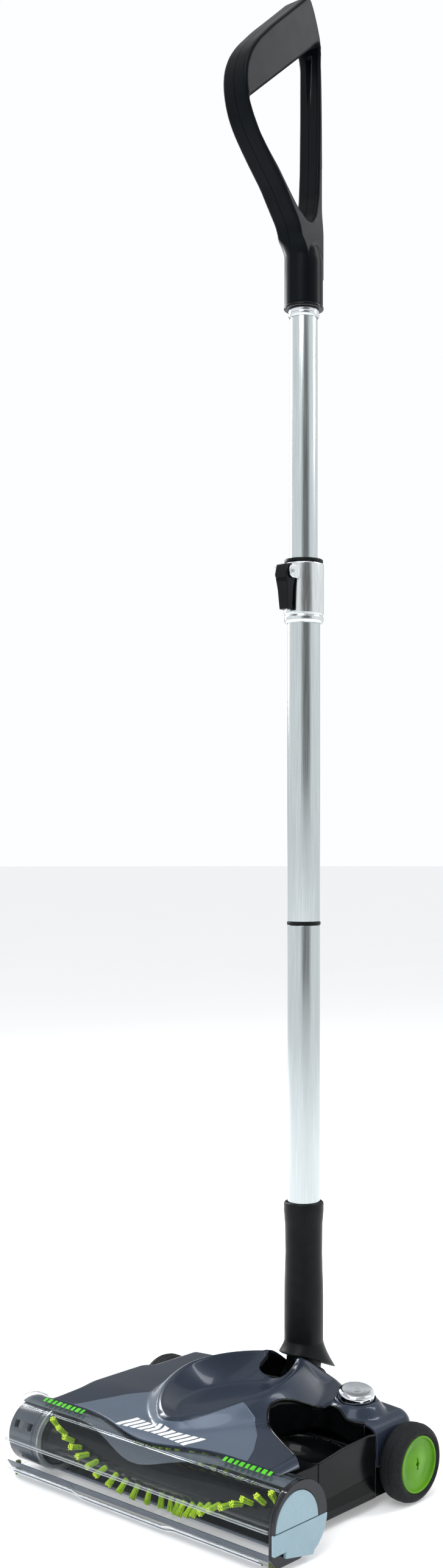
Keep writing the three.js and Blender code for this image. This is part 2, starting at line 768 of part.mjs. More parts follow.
const BOWL = { halfLong: 34, halfWide: 23, depth: 17 };
const MOUTH_LOW = 17; // sill that the dirt is thrown over
const FACE = { rear: -54, low: 7.5, thick: 2.2 };
const FACE_TOP = [
  [FACE.rear, 53],
  [-62, 54],
  [-90, 53],
  [-107, 51],
  [TRAY.front, 49.5],
];

function dirtTray() {
  const { left, front, rear, top, scoop, end, wall } = TRAY;
  const low = FLOOR_TO_TRAY;
  const hull = box(left, end - 1, front, rear, low, top);
  const inside = box(left + wall, end - 3, front + wall, rear - wall, low + wall, top - 3);
  const openTop = box(left + wall, scoop - wall, front + wall, rear - wall, low + wall, top + 10);
  const mouth = box(left + wall, scoop - wall, front - 5, front + wall + 1, MOUTH_LOW, top + 10);
  const bowl = (grow) =>
    solid(
      new THREE.SphereGeometry(1, 20, 12)
        .scale(BOWL.halfLong + grow, BOWL.halfWide + grow, BOWL.depth + grow)
        .translate((scoop + end) / 2 - 1, (front + rear) / 2, top),
    ).intersect(box(scoop, end, front, rear, low, top));
  const face = across(
    outline([[front, FACE.low], [FACE.rear, FACE.low], ...FACE_TOP]),
    end - FACE.thick,
    end,
  );
  return hull
    .subtract(inside)
    .subtract(openTop)
    .subtract(mouth)
    .add(bowl(0))
    .subtract(bowl(-wall))
    .add(face);
}

// The fixed black panel between the housing and the tray
const PANEL = { low: 10.4, high: 49, wall: 3, front: -138.5 };

function sidePanel() {
  const shape = outline([
    [TRAY.end, TRAY.front - GAP],
    [79, TRAY.front - GAP],
    [90, -126],
    [114, PANEL.front],
    [TRAY.end, PANEL.front],
  ]);
  const hollow = outline([
    [TRAY.end - PANEL.wall, TRAY.front - PANEL.wall],
    [90, TRAY.front - PANEL.wall],
    [96, -126],
    [TRAY.end - PANEL.wall, -134],
  ]);
  const block = plate(shape, PANEL.low, PANEL.high).subtract(plate(hollow, 0, PANEL.high - 9));
  const chassisCorner = box(60, ARCH.half - SHELL_WALL, -134, -110, 0, 46.3);
  return block
    .subtract(rodX(HOUSING_R + 1, 0, 150, BRUSH.y, BRUSH.z, 48))
    .subtract(chassisCorner);
}

// A black lining that drops from the bonnet's edge round the recess
const LINER = { inset: 0.6, thick: 1.5, top: 57 };

function recessLiner() {
  const shape = outline(recessOutline(-LINER.inset));
  const hollow = outline(recessOutline(-LINER.inset - LINER.thick));
  const reach = box(30, 109, TRAY.front, -47, RECESS_RIM, LINER.top);
  return plate(shape, RECESS_RIM, LINER.top).subtract(plate(hollow, 0, 90)).intersect(reach);
}

// ---------- Wheels ----------

function tyre() {
  const { r, width, hub } = WHEEL;
  return spindle(
    [
      [hub + GAP, 0],
      [r - 3.5, 0],
      [r - 1, 1.2],
      [r, 4],
      [r, width - 5],
      [r - 1.2, width - 1.8],
      [r - 4, width],
      [hub + GAP, width - 0.6],
    ],
    0,
    0,
    28,
  );
}

function hub() {
  const { width, hub: r } = WHEEL;
  return spindle(
    [
      [SHAFT_R + 0.1, 1],
      [r, 1],
      [r, width - 1],
      [r - 1.2, width - 1],
      [r - 2, width - 2.4],
      [4, width - 2],
      [1.6, width - 2],
      [1.6, width - 4.5],
      [SHAFT_R + 0.1, width - 4.5],
    ],
    0,
    0,
    24,
  );
}

// ---------- Power button ----------

function placed(shape, matrix) {
  return shape.transform(matrix.elements);
}

// The button's own axis leans outwards and forwards
function buttonPlace() {
  const lean = new THREE.Euler(rad(BUTTON.lean * 0.6), rad(BUTTON.lean), 0);
  return new THREE.Matrix4().makeRotationFromEuler(lean).setPosition(BUTTON.x, BUTTON.y, BUTTON.z);
}

function powerButton() {
  const { r } = BUTTON;
  return turned([
    [0, -5],
    [r - 2, -5],
    [r - 2, -9],
    [r, -9],
    [r, 4.2],
    [r - 1.2, 5.6],
    [r - 3, 6],
    [0, 5.2],
  ]);
}

const SPRING = { turns: 3, r: 6, wire: 0.45, low: -15.4, high: -5.8, stepsPerTurn: 9 };

function buttonSpring() {
  const { turns, r, low, high } = SPRING;
  class Coil extends THREE.Curve {
    getPoint(t, target = new THREE.Vector3()) {
      const angle = 2 * Math.PI * turns * t;
      return target.set(r * Math.cos(angle), r * Math.sin(angle), low + (high - low) * t);
    }
  }
  const wire = new THREE.Shape().absarc(0, 0, SPRING.wire, 0, 2 * Math.PI, false);
  const geometry = new THREE.ExtrudeGeometry(wire, {
    steps: turns * SPRING.stepsPerTurn,
    curveSegments: 4,
    extrudePath: new Coil(),
    bevelEnabled: false,
  });
  return solid(geometry);
}

const switchPlate = () => turned(ring(3.5, 14, -18, -16), 16);

function switchBody() {
  return box(-6, 6, -4, 4, -27, -18.3).add(rodZ(2, -20, -10, 0, 0, 10));
}

// ---------- Tilt joint ----------

const BRACKET = {
  inside: 15,
  outside: 18.6,
  front: SLOT.front + 2,
  heel: -9,
  low: FLOOR.high + GAP,
  high: 56,
};
const EYE_R = 4.6;

function bracketCheek() {
  const { front, heel, low, high } = BRACKET;
  const shape = new THREE.Shape();
  shape.moveTo(front, low);
  shape.lineTo(front, high);
  shape.lineTo(-16, high + 10);
  shape.lineTo(-4, PIVOT_Z + EYE_R);
  shape.absarc(0, PIVOT_Z, EYE_R, Math.PI / 2, 0, true);
  shape.lineTo(3, low + 20);
  shape.lineTo(heel, low + 14);
  shape.lineTo(heel, low);
  return shape;
}

function tiltBracket() {
  const { inside, outside, front, heel, low, high } = BRACKET;
  const cheeks = [-outside, inside].map((x) => across(bracketCheek(), x, x + outside - inside, 6));
  const web = box(-outside, outside, front, front + 2.5, low, high);
  const foot = box(-outside, outside, front, heel, low, low + 2.7);
  return union([...cheeks, web, foot]).subtract(rodX(PIN_R + GAP, -30, 30, 0, PIVOT_Z));
}

const pivotPin = () => rodX(PIN_R, -BRACKET.outside - 1, BRACKET.outside + 1, 0, PIVOT_Z);

function neck() {
  const barrel = rodX(NECK_R, -SLOT.half + 0.7, SLOT.half - 0.7, 0, PIVOT_Z, 20);
  const stalk = turned([
    [0, PIVOT_Z],
    [NECK_R, PIVOT_Z],
    [NECK_R, SLEEVE.low - GAP],
    [TUBE_R, SLEEVE.low - GAP],
    [TUBE_R, TUBE_LOW - GAP],
    [0, TUBE_LOW - GAP],
  ]);
  return barrel.add(stalk).subtract(rodX(PIN_R + 0.1, -30, 30, 0, PIVOT_Z));
}

// ---------- Pole ----------

// The sleeve, with a collar round its foot that is high in front and falls to a tail behind
const SKIRT = { front: 20.4, rear: 28, frontZ: 80, tailZ: 61, thick: 2.2, squeeze: 0.86 };
function lowerSleeve() {
  const bore = TUBE_R + GAP;
  const grip = turned([
    [bore, SLEEVE.low],
    [SLEEVE.r, SLEEVE.low],
    [SLEEVE.r, SLEEVE.low + 50],
    [SLEEVE.r - 0.9, SLEEVE.low + 70],
    [SLEEVE.r + 0.3, SLEEVE.high - 6],
    [SLEEVE.r, SLEEVE.high],
    [bore, SLEEVE.high],
  ]);
  const rim = (u, shrink) => {
    const angle = 2 * Math.PI * u;
    const back = (1 + Math.sin(angle)) / 2;
    const r = THREE.MathUtils.lerp(SKIRT.front, SKIRT.rear, back ** 2) - shrink;
    const z = THREE.MathUtils.lerp(SKIRT.frontZ, SKIRT.tailZ, back ** 1.5);
    return new THREE.Vector3(r * Math.cos(angle) * SKIRT.squeeze, r * Math.sin(angle), z);
  };
  const side = (shrink) => (u, v) => {
    const angle = 2 * Math.PI * u;
    const top = new THREE.Vector3(Math.cos(angle), Math.sin(angle), 0)
      .multiplyScalar(SLEEVE.r - 0.4 - shrink * 0.4)
      .setZ(SLEEVE.low + 3);
    return top.lerp(rim(u, shrink), v).toArray();
  };
  const skirt = tubeSkin(side(0), side(SKIRT.thick), 20, 2);
  return grip.add(skirt).subtract(rodZ(NECK_R + GAP, 40, SLEEVE.low + 0.5, 0, 0, 20));
}

// A closed skin whose columns run all the way round
function tubeSkin(outer, inner, columns, rows) {
  const points = [];
  [outer, inner].forEach((surface) => {
    for (let j = 0; j <= rows; j += 1) {
      for (let i = 0; i < columns; i += 1) points.push(...surface(i / columns, j / rows));
    }
  });
  const layer = columns * (rows + 1);
  const at = (i, j, side) => side * layer + j * columns + (i % columns);
  const corners = [];
  const quad = (a, b, c, d) => corners.push(a, b, c, a, c, d);
  for (let i = 0; i < columns; i += 1) {
    for (let j = 0; j < rows; j += 1) {
      quad(at(i, j, 0), at(i + 1, j, 0), at(i + 1, j + 1, 0), at(i, j + 1, 0));
      quad(at(i, j, 1), at(i, j + 1, 1), at(i + 1, j + 1, 1), at(i + 1, j, 1));
    }
    quad(at(i, 0, 0), at(i, 0, 1), at(i + 1, 0, 1), at(i + 1, 0, 0));
    quad(at(i, rows, 0), at(i + 1, rows, 0), at(i + 1, rows, 1), at(i, rows, 1));
  }
  const geometry = new THREE.BufferGeometry();
  geometry.setAttribute('position', new THREE.Float32BufferAttribute(points, 3));
  geometry.setIndex(corners);
  return solid(geometry);
}

const tube = (r, low, high) => turned(ring(r - TUBE_WALL, r, low, high));

function tubeConnector() {
  const plug = TUBE_R - TUBE_WALL - GAP;
  return turned([
    [plug - 2, JOINT_Z - 30],
    [plug, JOINT_Z - 30],
    [plug, JOINT_Z],
    [TUBE_R + 0.4, JOINT_Z],
    [TUBE_R + 0.4, JOINT_Z + JOINT_RING],
    [plug, JOINT_Z + JOINT_RING],
    [plug, JOINT_Z + 25],
    [plug - 2, JOINT_Z + 25],
  ]);
}

const EAR = { inside: 6.6, thick: 2, front: -25, rear: -13, half: 5 };

function clampCollar() {
  const body = turned([
    [TUBE_R + GAP, COLLAR.low],
    [COLLAR.r - 1.6, COLLAR.low],
    [COLLAR.r, COLLAR.low + 3],
    [COLLAR.r, COLLAR.high],
    [UPPER_R + GAP, COLLAR.high],
    [UPPER_R + GAP, COLLAR.high - 3],
    [TUBE_R + GAP, COLLAR.high - 3],
  ]);
  const ears = [-EAR.inside - EAR.thick, EAR.inside].map((x) =>
    box(x, x + EAR.thick, EAR.front, EAR.rear, LEVER.z - EAR.half, LEVER.z + EAR.half),
  );
  return union([body, ...ears])
    .subtract(rodX(LEVER.pin + 0.2, -12, 12, LEVER.y, LEVER.z))
    .subtract(rodZ(TUBE_R + GAP, COLLAR.low, COLLAR.high - 3, 0, 0, 24));
}

const collarRing = () => turned(ring(UPPER_R + GAP, COLLAR.r - 0.4, COLLAR.high + GAP, COLLAR.high + 3));

// A wedge: a wide faceted head round the pin, drawn down to a narrower finger end
function camLever() {
  const { y, z, half, pin } = LEVER;
  const side = across(
    outline([
      [y + 6, z - 4.4],
      [y + 6.2, z + 1],
      [y + 4, z + 5],
      [y + 1, z + 6.6],
      [y - 3, z + 6],
      [y - 5.2, z - 2],
      [y - 2.5, z - 14],
      [y - 1.5, z - 29],
      [y + 3.6, z - 29.5],
      [y + 4.2, z - 12],
    ]),
    -half,
    half,
  );
  const drawnIn = 1.8;
  const pinches = [-1, 1].map((sign) => {
    const shape = outline([
      [sign * half, z - 8],
      [sign * (half + 4), z - 8],
      [sign * (half + 4), z - 40],
      [sign * (half - drawnIn), z - 40],
      [sign * (half - drawnIn), z - 18],
    ]);
    const geometry = new THREE.ExtrudeGeometry(shape, { depth: 40, bevelEnabled: false });
    return solid(geometry.rotateX(Math.PI / 2));
  });
  return pinches
    .reduce((rest, cut) => rest.subtract(cut), side)
    .subtract(rodX(pin + 0.2, -12, 12, y, z));
}

const leverPin = () => rodX(LEVER.pin, -9, 9, LEVER.y, LEVER.z);

const tubeGuide = () =>
  turned([
    [UPPER_R - 3, UPPER_LOW - 6],
    [UPPER_R + 0.3, UPPER_LOW - 6],
    [UPPER_R + 0.3, UPPER_LOW - GAP],
    [UPPER_R - TUBE_WALL - GAP, UPPER_LOW - GAP],
    [UPPER_R - TUBE_WALL - GAP, UPPER_LOW + 14],
    [UPPER_R - 3, UPPER_LOW + 14],
  ]);

const ferrule = () =>
  turned([
    [UPPER_R + GAP, FERRULE.low],
    [FERRULE.r - 0.8, FERRULE.low],
    [FERRULE.r, FERRULE.low + 2],
    [FERRULE.r, FERRULE.high - GAP],
    [UPPER_R + GAP, FERRULE.high - GAP],
  ]);

// ---------- Handle ----------

// The loop's outside in Y and Z, from the foot of the front strap round to the rear of the stem
function loopOutline() {
  const shape = new THREE.Shape();
  shape.moveTo(-14, 915);
  shape.lineTo(-14.5, 934);
  shape.quadraticCurveTo(-24, 956, -51, 987);
  shape.bezierCurveTo(-72, 1010, -80, 1024, -80, 1041);
  shape.quadraticCurveTo(-80, 1058, -64, 1076);
  shape.lineTo(-17, 1120);
  shape.quadraticCurveTo(-7, 1135, -1, 1122);
  shape.quadraticCurveTo(7, 1108, 9, 1080);
  shape.lineTo(13, 956);
  shape.lineTo(14, 915);
  return shape;
}

// The finger opening
function loopHole() {
  const path = new THREE.Shape();
  path.moveTo(-3, 953);
  path.lineTo(4.5, 976);
  path.lineTo(6, 1013);
  path.lineTo(6.5, 1092);
  path.quadraticCurveTo(6, 1097, 3, 1096);
  path.lineTo(-75, 1027);
  path.bezierCurveTo(-70, 1014, -60, 1004, -42, 988);
  path.quadraticCurveTo(-22, 968, -4, 954);
  return path;
}

// The hollow inside the slanted grip
function gripHollow() {
  return outline([
    [-66, 1040],
    [2, 1100],
    [0, 1107],
    [-8, 1116],
    [-18, 1114],
    [-61, 1072],
    [-70, 1053],
  ]);
}

function loopSolid(half) {
  const bevel = 2;
  const geometry = new THREE.ExtrudeGeometry(loopOutline(), {
    depth: 2 * (half - bevel),
    curveSegments: 6,
    bevelEnabled: true,
    bevelThickness: bevel,
    bevelSize: bevel,
    bevelOffset: -bevel,
    bevelSegments: 1,
  });
  const body = solid(geometry.applyMatrix4(ACROSS).translate(-(half - bevel), 0, 0));
  return body.subtract(across(loopHole(), -2 * half, 2 * half, 6));
}

function handleHalf(side) {
  const { low, stem, half, shell } = HANDLE;
  const outside = loopSolid(half).add(rodZ(stem, low, 931, 0, 0, 28));
  const bore = rodZ(UPPER_R + GAP, low - 5, low + 33, 0, 0, 24);
  const [x0, x1] = side < 0 ? [-20, -GAP / 2] : [GAP / 2, 20];
  const hollow = across(gripHollow(), -half + shell, half - shell);
  const stemHollow = rodZ(stem - shell, low + 20, 928, 0, 0, 20);
  const screwHole = rodX(HANDLE_SCREW.r + GAP, HANDLE_SCREW.from - GAP, 20, 0, HANDLE_SCREW.z, 10);
  return outside
    .subtract(bore)
    .subtract(hollow)
    .subtract(stemHollow)
    .subtract(screwHole)
    .intersect(box(x0, x1, -120, 60, 800, 1200));
}

const HANDLE_SCREW = { r: 1.8, from: -6, to: 11, z: 937 };
const handleScrew = () => rodX(HANDLE_SCREW.r, HANDLE_SCREW.from, HANDLE_SCREW.to, 0, HANDLE_SCREW.z, 8);

// ---------- Assembly ----------

function head() {
  const group = new THREE.Group();
  group.add(
    part('top_shell', bonnet(), 'slate'),
    part('chassis', chassis(), 'black'),
    part('brush_trough', trough(), 'slate'),
    part('window_upper', windowUpper(), 'clear'),
    part('window_lower', windowLower(), 'clear'),
    part('end_cap_left', capLeft(), 'clear'),
    part('end_frame_right', endFrameRight(), 'smoke'),
    part('end_cap_right_upper', capRightUpper(), 'ice'),
    part('end_cap_right_lower', capRightLower(), 'ice'),
    part('edge_tuft_left', edgeTuft(-EDGE_TUFT.x), 'olive'),
    part('edge_tuft_right', edgeTuft(EDGE_TUFT.x), 'olive'),
    part('drive_drum', driveDrum(), 'silver'),
    part('brush_bush_left', bush(DRUM_FROM, DRUM_FROM + 4), 'satin'),
    part('brush_bush_right', bush(FRAME_X - 2, FRAME_X + 2), 'satin'),
    part('drive_belt', belt(), 'rubber'),
    part('motor', motor(), 'steel'),
    part('battery_pack', batteryPack(), 'satin'),
    part('circuit_board', circuitBoard(), 'board'),
    part('charging_socket', chargingSocket(), 'black'),
    part('side_panel_right', sidePanel(), 'black'),
    part('recess_liner', recessLiner(), 'black'),
    part('tilt_bracket', tiltBracket(), 'black'),
    part('pivot_pin', pivotPin(), 'steel'),
    part('glide_pad_left', glidePad(-96), 'rubber'),
    part('glide_pad_right', glidePad(96), 'rubber'),
  );
  SCREWS.forEach(([x, y], i) => group.add(part(`base_screw_${i + 1}`, baseScrew(x, y), 'steel')));
  return group;
}

function brush() {
  const group = new THREE.Group();
  group.add(
    part('brush_core', brushCore(), 'satin'),
    part('bristle_row_1', bristleRow(0), 'bristle'),
    part('bristle_row_2', bristleRow(1), 'bristle'),
    part('brush_pulley', pulley(BRUSH_PULLEY_R, BRUSH.y, BRUSH.z), 'satin'),
  );
  return group;
}

function wheel(side) {
  const group = new THREE.Group();
  const name = side < 0 ? 'left' : 'right';
  const rolling = new THREE.Group();
  rolling.add(part(`wheel_tyre_${name}`, tyre(), 'tyre'), part(`wheel_hub_${name}`, hub(), 'green'));
  rolling.position.set(side * WHEEL.x, 0, 0);
  rolling.rotation.z = side < 0 ? Math.PI : 0;
  const axle = part(`wheel_axle_${name}`, rodX(SHAFT_R, -12, 12.5, 0, 0), 'steel');
  axle.position.set(side * WHEEL.x, 0, 0);
  axle.rotation.z = side < 0 ? Math.PI : 0;
  group.add(rolling, axle);
  group.position.set(0, WHEEL.y, WHEEL.r);
  return group;
}

function button() {
  const group = new THREE.Group();
  group.add(
    part('power_button', powerButton(), 'chrome'),
    part('button_spring', buttonSpring(), 'steel'),
    part('switch_plate', switchPlate(), 'satin'),
    part('switch_body', switchBody(), 'black'),
  );
  group.applyMatrix4(buttonPlace());
  return group;
}

function pole() {
  const group = new THREE.Group();
  const upperHigh = HANDLE.low + 32;
  group.add(
    part('neck', neck(), 'satin'),
    part('lower_sleeve', lowerSleeve(), 'satin'),
    part('lower_tube', tube(TUBE_R, TUBE_LOW, JOINT_Z - GAP), 'aluminium'),
    part('tube_connector', tubeConnector(), 'satin'),
    part('mid_tube', tube(TUBE_R, JOINT_Z + JOINT_RING + GAP, COLLAR.high - 3 - GAP), 'aluminium'),
    part('clamp_collar', clampCollar(), 'aluminium'),
    part('collar_ring', collarRing(), 'satin'),
    part('cam_lever', camLever(), 'satin'),
    part('lever_pin', leverPin(), 'steel'),
    part('tube_guide', tubeGuide(), 'satin'),
    part('upper_tube', tube(UPPER_R, UPPER_LOW, upperHigh), 'aluminium'),
    part('handle_ferrule', ferrule(), 'chrome'),
    part('handle_left', handleHalf(-1), 'satin'),
    part('handle_right', handleHalf(1), 'satin'),
    part('handle_screw', handleScrew(), 'steel'),
  );
  return group;
}

const motorPulley = part('motor_pulley', pulley(MOTOR.pulley, MOTOR.y, MOTOR.z), 'satin');
const tray = part('dirt_tray', dirtTray(), 'black');

const sweeper = new THREE.Group();
sweeper.add(head(), brush(), motorPulley, tray, button(), wheel(-1), wheel(1), pole());
sweeper.position.y = -(FOOTPRINT.front + FOOTPRINT.rear) / 2;

export default sweeper;
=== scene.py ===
"""Looks of the cordless carpet sweeper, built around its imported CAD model.

Sizes below are in millimetres in the layout frame: the pole's axis is X = Y = 0, +Z is up, -Y is the front
and +X is the side that the dirt tray slides out of. to_frame() carries them into the row frame, in metres.
"""

import json
import math
import random

import bmesh
import bpy
import numpy as np
from mathutils import Matrix, Vector


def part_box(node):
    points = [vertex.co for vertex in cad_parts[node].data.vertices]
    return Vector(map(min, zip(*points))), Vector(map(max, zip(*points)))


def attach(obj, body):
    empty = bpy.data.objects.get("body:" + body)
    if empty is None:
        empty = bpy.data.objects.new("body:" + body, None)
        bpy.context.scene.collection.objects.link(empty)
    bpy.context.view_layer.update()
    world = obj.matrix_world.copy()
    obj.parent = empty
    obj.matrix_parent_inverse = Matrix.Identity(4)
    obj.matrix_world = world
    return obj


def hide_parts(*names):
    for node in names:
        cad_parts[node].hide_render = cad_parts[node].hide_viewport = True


MM = 0.001
FULL_TURN = 2 * math.pi

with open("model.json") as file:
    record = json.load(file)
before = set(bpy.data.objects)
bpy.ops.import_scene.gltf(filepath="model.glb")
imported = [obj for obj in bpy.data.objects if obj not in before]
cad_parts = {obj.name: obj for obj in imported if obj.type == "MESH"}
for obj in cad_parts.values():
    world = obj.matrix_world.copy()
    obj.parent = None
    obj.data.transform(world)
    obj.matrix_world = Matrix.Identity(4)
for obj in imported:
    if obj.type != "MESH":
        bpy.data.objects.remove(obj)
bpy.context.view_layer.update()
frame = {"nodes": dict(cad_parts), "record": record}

TUBE_LOW, TUBE_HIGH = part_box("lower_tube")
POLE = (TUBE_LOW + TUBE_HIGH) / 2
LAYOUT = Vector((POLE.x, POLE.y, 0))  # where the layout frame's origin is, in the row frame


def to_frame(points):
    """Layout millimetres, as an (n, 3) array, to row-frame metres."""
    return np.asarray(points, float) * MM + np.array(LAYOUT)


def box(node):
    """A CAD node's lowest and highest corner, in layout millimetres."""
    low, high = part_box(node)
    return (low - LAYOUT) / MM, (high - LAYOUT) / MM


def add(name, data):
    """A new object in the scene."""
    made = bpy.data.objects.new(name, data)
    bpy.context.scene.collection.objects.link(made)
    return made


# ---------- Camera ----------

CAMERA = {"azimuth": 40.8, "distance": 1311, "height": 475}
SENSOR, LENS = 36, 38.585  # the sensor's side is the frame's long one
SHIFT = {"x": -0.0524, "y": 0.0361}  # of that side: the pole stands right of the middle


def make_camera():
    """Stands where the photographer stood: level, with the lens shifted to frame the whole object."""
    data = bpy.data.cameras.new("camera")
    data.sensor_width = SENSOR
    data.lens = LENS
    data.shift_x = SHIFT["x"]
    data.shift_y = SHIFT["y"]
    camera = add("camera", data)
    azimuth = math.radians(CAMERA["azimuth"])
    out = Vector((math.sin(azimuth), -math.cos(azimuth), 0)) * CAMERA["distance"]
    camera.location = (out + Vector((0, 0, CAMERA["height"]))) * MM + LAYOUT
    camera.rotation_euler = (math.pi / 2, 0, azimuth)
    bpy.context.scene.camera = camera


make_camera()

# ---------- Materials ----------


def srgb(colour):
    """A colour given as 0-255 display values, as the linear RGBA that a shader takes."""
    linear = [((c / 255 + 0.055) / 1.055) ** 2.4 if c > 10 else c / 255 / 12.92 for c in colour]
    return (*linear, 1)


class Shader:
    """A Principled material with object coordinates to hang procedural detail on."""

    def __init__(self, name, **values):
        self.material = bpy.data.materials.new(name)
        self.material.use_nodes = True
        self.tree = self.material.node_tree
        self.bsdf = self.tree.nodes["Principled BSDF"]
        self.place = self.node("ShaderNodeTexCoord").outputs["Object"]
        self.height = None
        for socket, value in values.items():
            self.bsdf.inputs[socket.replace("_", " ")].default_value = value

    def node(self, kind, **settings):
        made = self.tree.nodes.new(kind)
        for key, value in settings.items():
            setattr(made, key, value)
        return made

    def link(self, source, target):
        self.tree.links.new(source, target)

    def stretched(self, scale):
        mapping = self.node("ShaderNodeMapping")
        mapping.inputs["Scale"].default_value = scale
        self.link(self.place, mapping.inputs["Vector"])
        return mapping.outputs["Vector"]

    def noise(self, scale, detail=4.0, stretch=None):
        made = self.node("ShaderNodeTexNoise")
        made.inputs["Scale"].default_value = scale
        made.inputs["Detail"].default_value = detail
        self.link(self.stretched(stretch) if stretch else self.place, made.inputs["Vector"])
        return made.outputs["Fac"]

    def spread(self, source, low, high, start=0.3, end=0.7):
        """source's values from start to end, spread from low to high."""
        made = self.node("ShaderNodeMapRange")
        for key, value in (("From Min", start), ("From Max", end), ("To Min", low), ("To Max", high)):
            made.inputs[key].default_value = value
        self.link(source, made.inputs["Value"])
        return made.outputs["Result"]

    def tint(self, source, first, second, start=0.3, end=0.7):
        """Base colour that runs from first to second, given as display values, with source."""
        ramp = self.node("ShaderNodeValToRGB")
        for stop, position, colour in zip(ramp.color_ramp.elements, (start, end), (first, second)):
            stop.position = position
            stop.color = srgb(colour)
        self.link(source, ramp.inputs["Fac"])
        self.link(ramp.outputs["Color"], self.bsdf.inputs["Base Color"])

    def rough(self, source, low, high):
        self.link(self.spread(source, low, high), self.bsdf.inputs["Roughness"])

    def bump(self, source, depth):
        """Adds relief of this many metres to what is already there."""
        made = self.node("ShaderNodeBump")
        made.inputs["Strength"].default_value = 1
        made.inputs["Distance"].default_value = depth
        self.link(source, made.inputs["Height"])
        if self.height:
            self.link(self.height, made.inputs["Normal"])
        self.height = made.outputs["Normal"]
        self.link(self.height, self.bsdf.inputs["Normal"])


def lacquer(name, dark, light):
    """Moulded plastic with fine metal flake under a clear gloss, slightly smudged."""
    made = Shader(name, Metallic=0.2, Specular_IOR_Level=0.14)
    for socket, value in (("Coat Weight", 0.3), ("Coat Roughness", 0.07), ("Coat IOR", 1.4)):
        made.bsdf.inputs[socket].default_value = value
    flake = made.noise(5200, 2)
    made.tint(flake, dark, light)
    made.rough(made.noise(38, 5), 0.24, 0.34)
    made.bump(flake, 2e-6)
    made.bump(made.noise(90, 3), 1.5e-5)
    return made.material


def gloss(name, dark, light, low=0.08, high=0.2, specular=0.35):
    """Polished moulded plastic: faint waviness and finger smudges."""
    made = Shader(name, Specular_IOR_Level=specular)
    made.tint(made.noise(60, 5), dark, light)
    made.rough(made.noise(45, 6), low, high)
    made.bump(made.noise(70, 3), 2e-5)
    return made.material


def satin(name, dark, light, low=0.34, high=0.46, grain=3.2e-5, specular=0.4):
    """Spark-eroded moulded plastic with a fine grain."""
    made = Shader(name, Specular_IOR_Level=specular)
    made.tint(made.noise(120, 6), dark, light)
    made.rough(made.noise(80, 5), low, high)
    made.bump(made.noise(2600, 3), grain)
    return made.material


def clear(name, tint, alpha_low, alpha_high, mirror=0.0):
    """Clear plastic: a faint mirror face on and a stronger one towards grazing, as polycarbonate is."""
    made = Shader(name, Base_Color=srgb(tint), Specular_IOR_Level=0.8, IOR=1.5, Metallic=mirror)
    made.rough(made.noise(50, 4), 0.03, 0.09)
    facing = made.node("ShaderNodeLayerWeight")
    facing.inputs["Blend"].default_value = 0.5
    grazing = made.node("ShaderNodeMath", operation="POWER")
    grazing.inputs[1].default_value = 3.5
    made.link(facing.outputs["Facing"], grazing.inputs[0])
    made.link(made.spread(grazing.outputs["Value"], alpha_low, alpha_high, 0, 1), made.bsdf.inputs["Alpha"])
    made.bump(made.noise(28, 2), 6e-6)
    return made.material


def drawn_metal(name, dark, light, stretch, low=0.2, high=0.34, scale=1400):
    """Metal drawn or turned along one direction: streaks in tone, gloss and relief."""
    made = Shader(name, Metallic=1.0)
    streak = made.noise(scale, 5, stretch)
    made.tint(streak, dark, light)
    made.rough(streak, low, high)
    made.bump(streak, 4e-6)
    return made.material


def chrome(name):
    made = Shader(name, Metallic=1.0)
    made.tint(made.noise(55, 4), (196, 201, 207), (226, 229, 233))
    made.rough(made.noise(70, 5), 0.05, 0.12)
    made.bump(made.noise(60, 2), 3e-6)
    return made.material


def rubber(name, dark, light, dust=0.2):
    """Rubber with a fine grain, dustier in patches."""
    made = Shader(name, Specular_IOR_Level=0.16)
    grain = made.noise(900, 6)
    made.tint(grain, dark, light)
    made.rough(made.noise(140, 5), 0.55, 0.55 + dust)
    made.bump(grain, 6e-5)
    return made.material


def bristle(name, shade, bright):
    """Nylon filament, with streaks along each tuft; its lighter copy on the cut tips is a painted highlight.
    """
    made = Shader(name, Specular_IOR_Level=0.35)
    made.tint(made.noise(420, 5), shade, bright)
    made.rough(made.noise(800, 3), 0.38, 0.6)
    made.bump(made.noise(3600, 2), 3e-5)
    return made.material


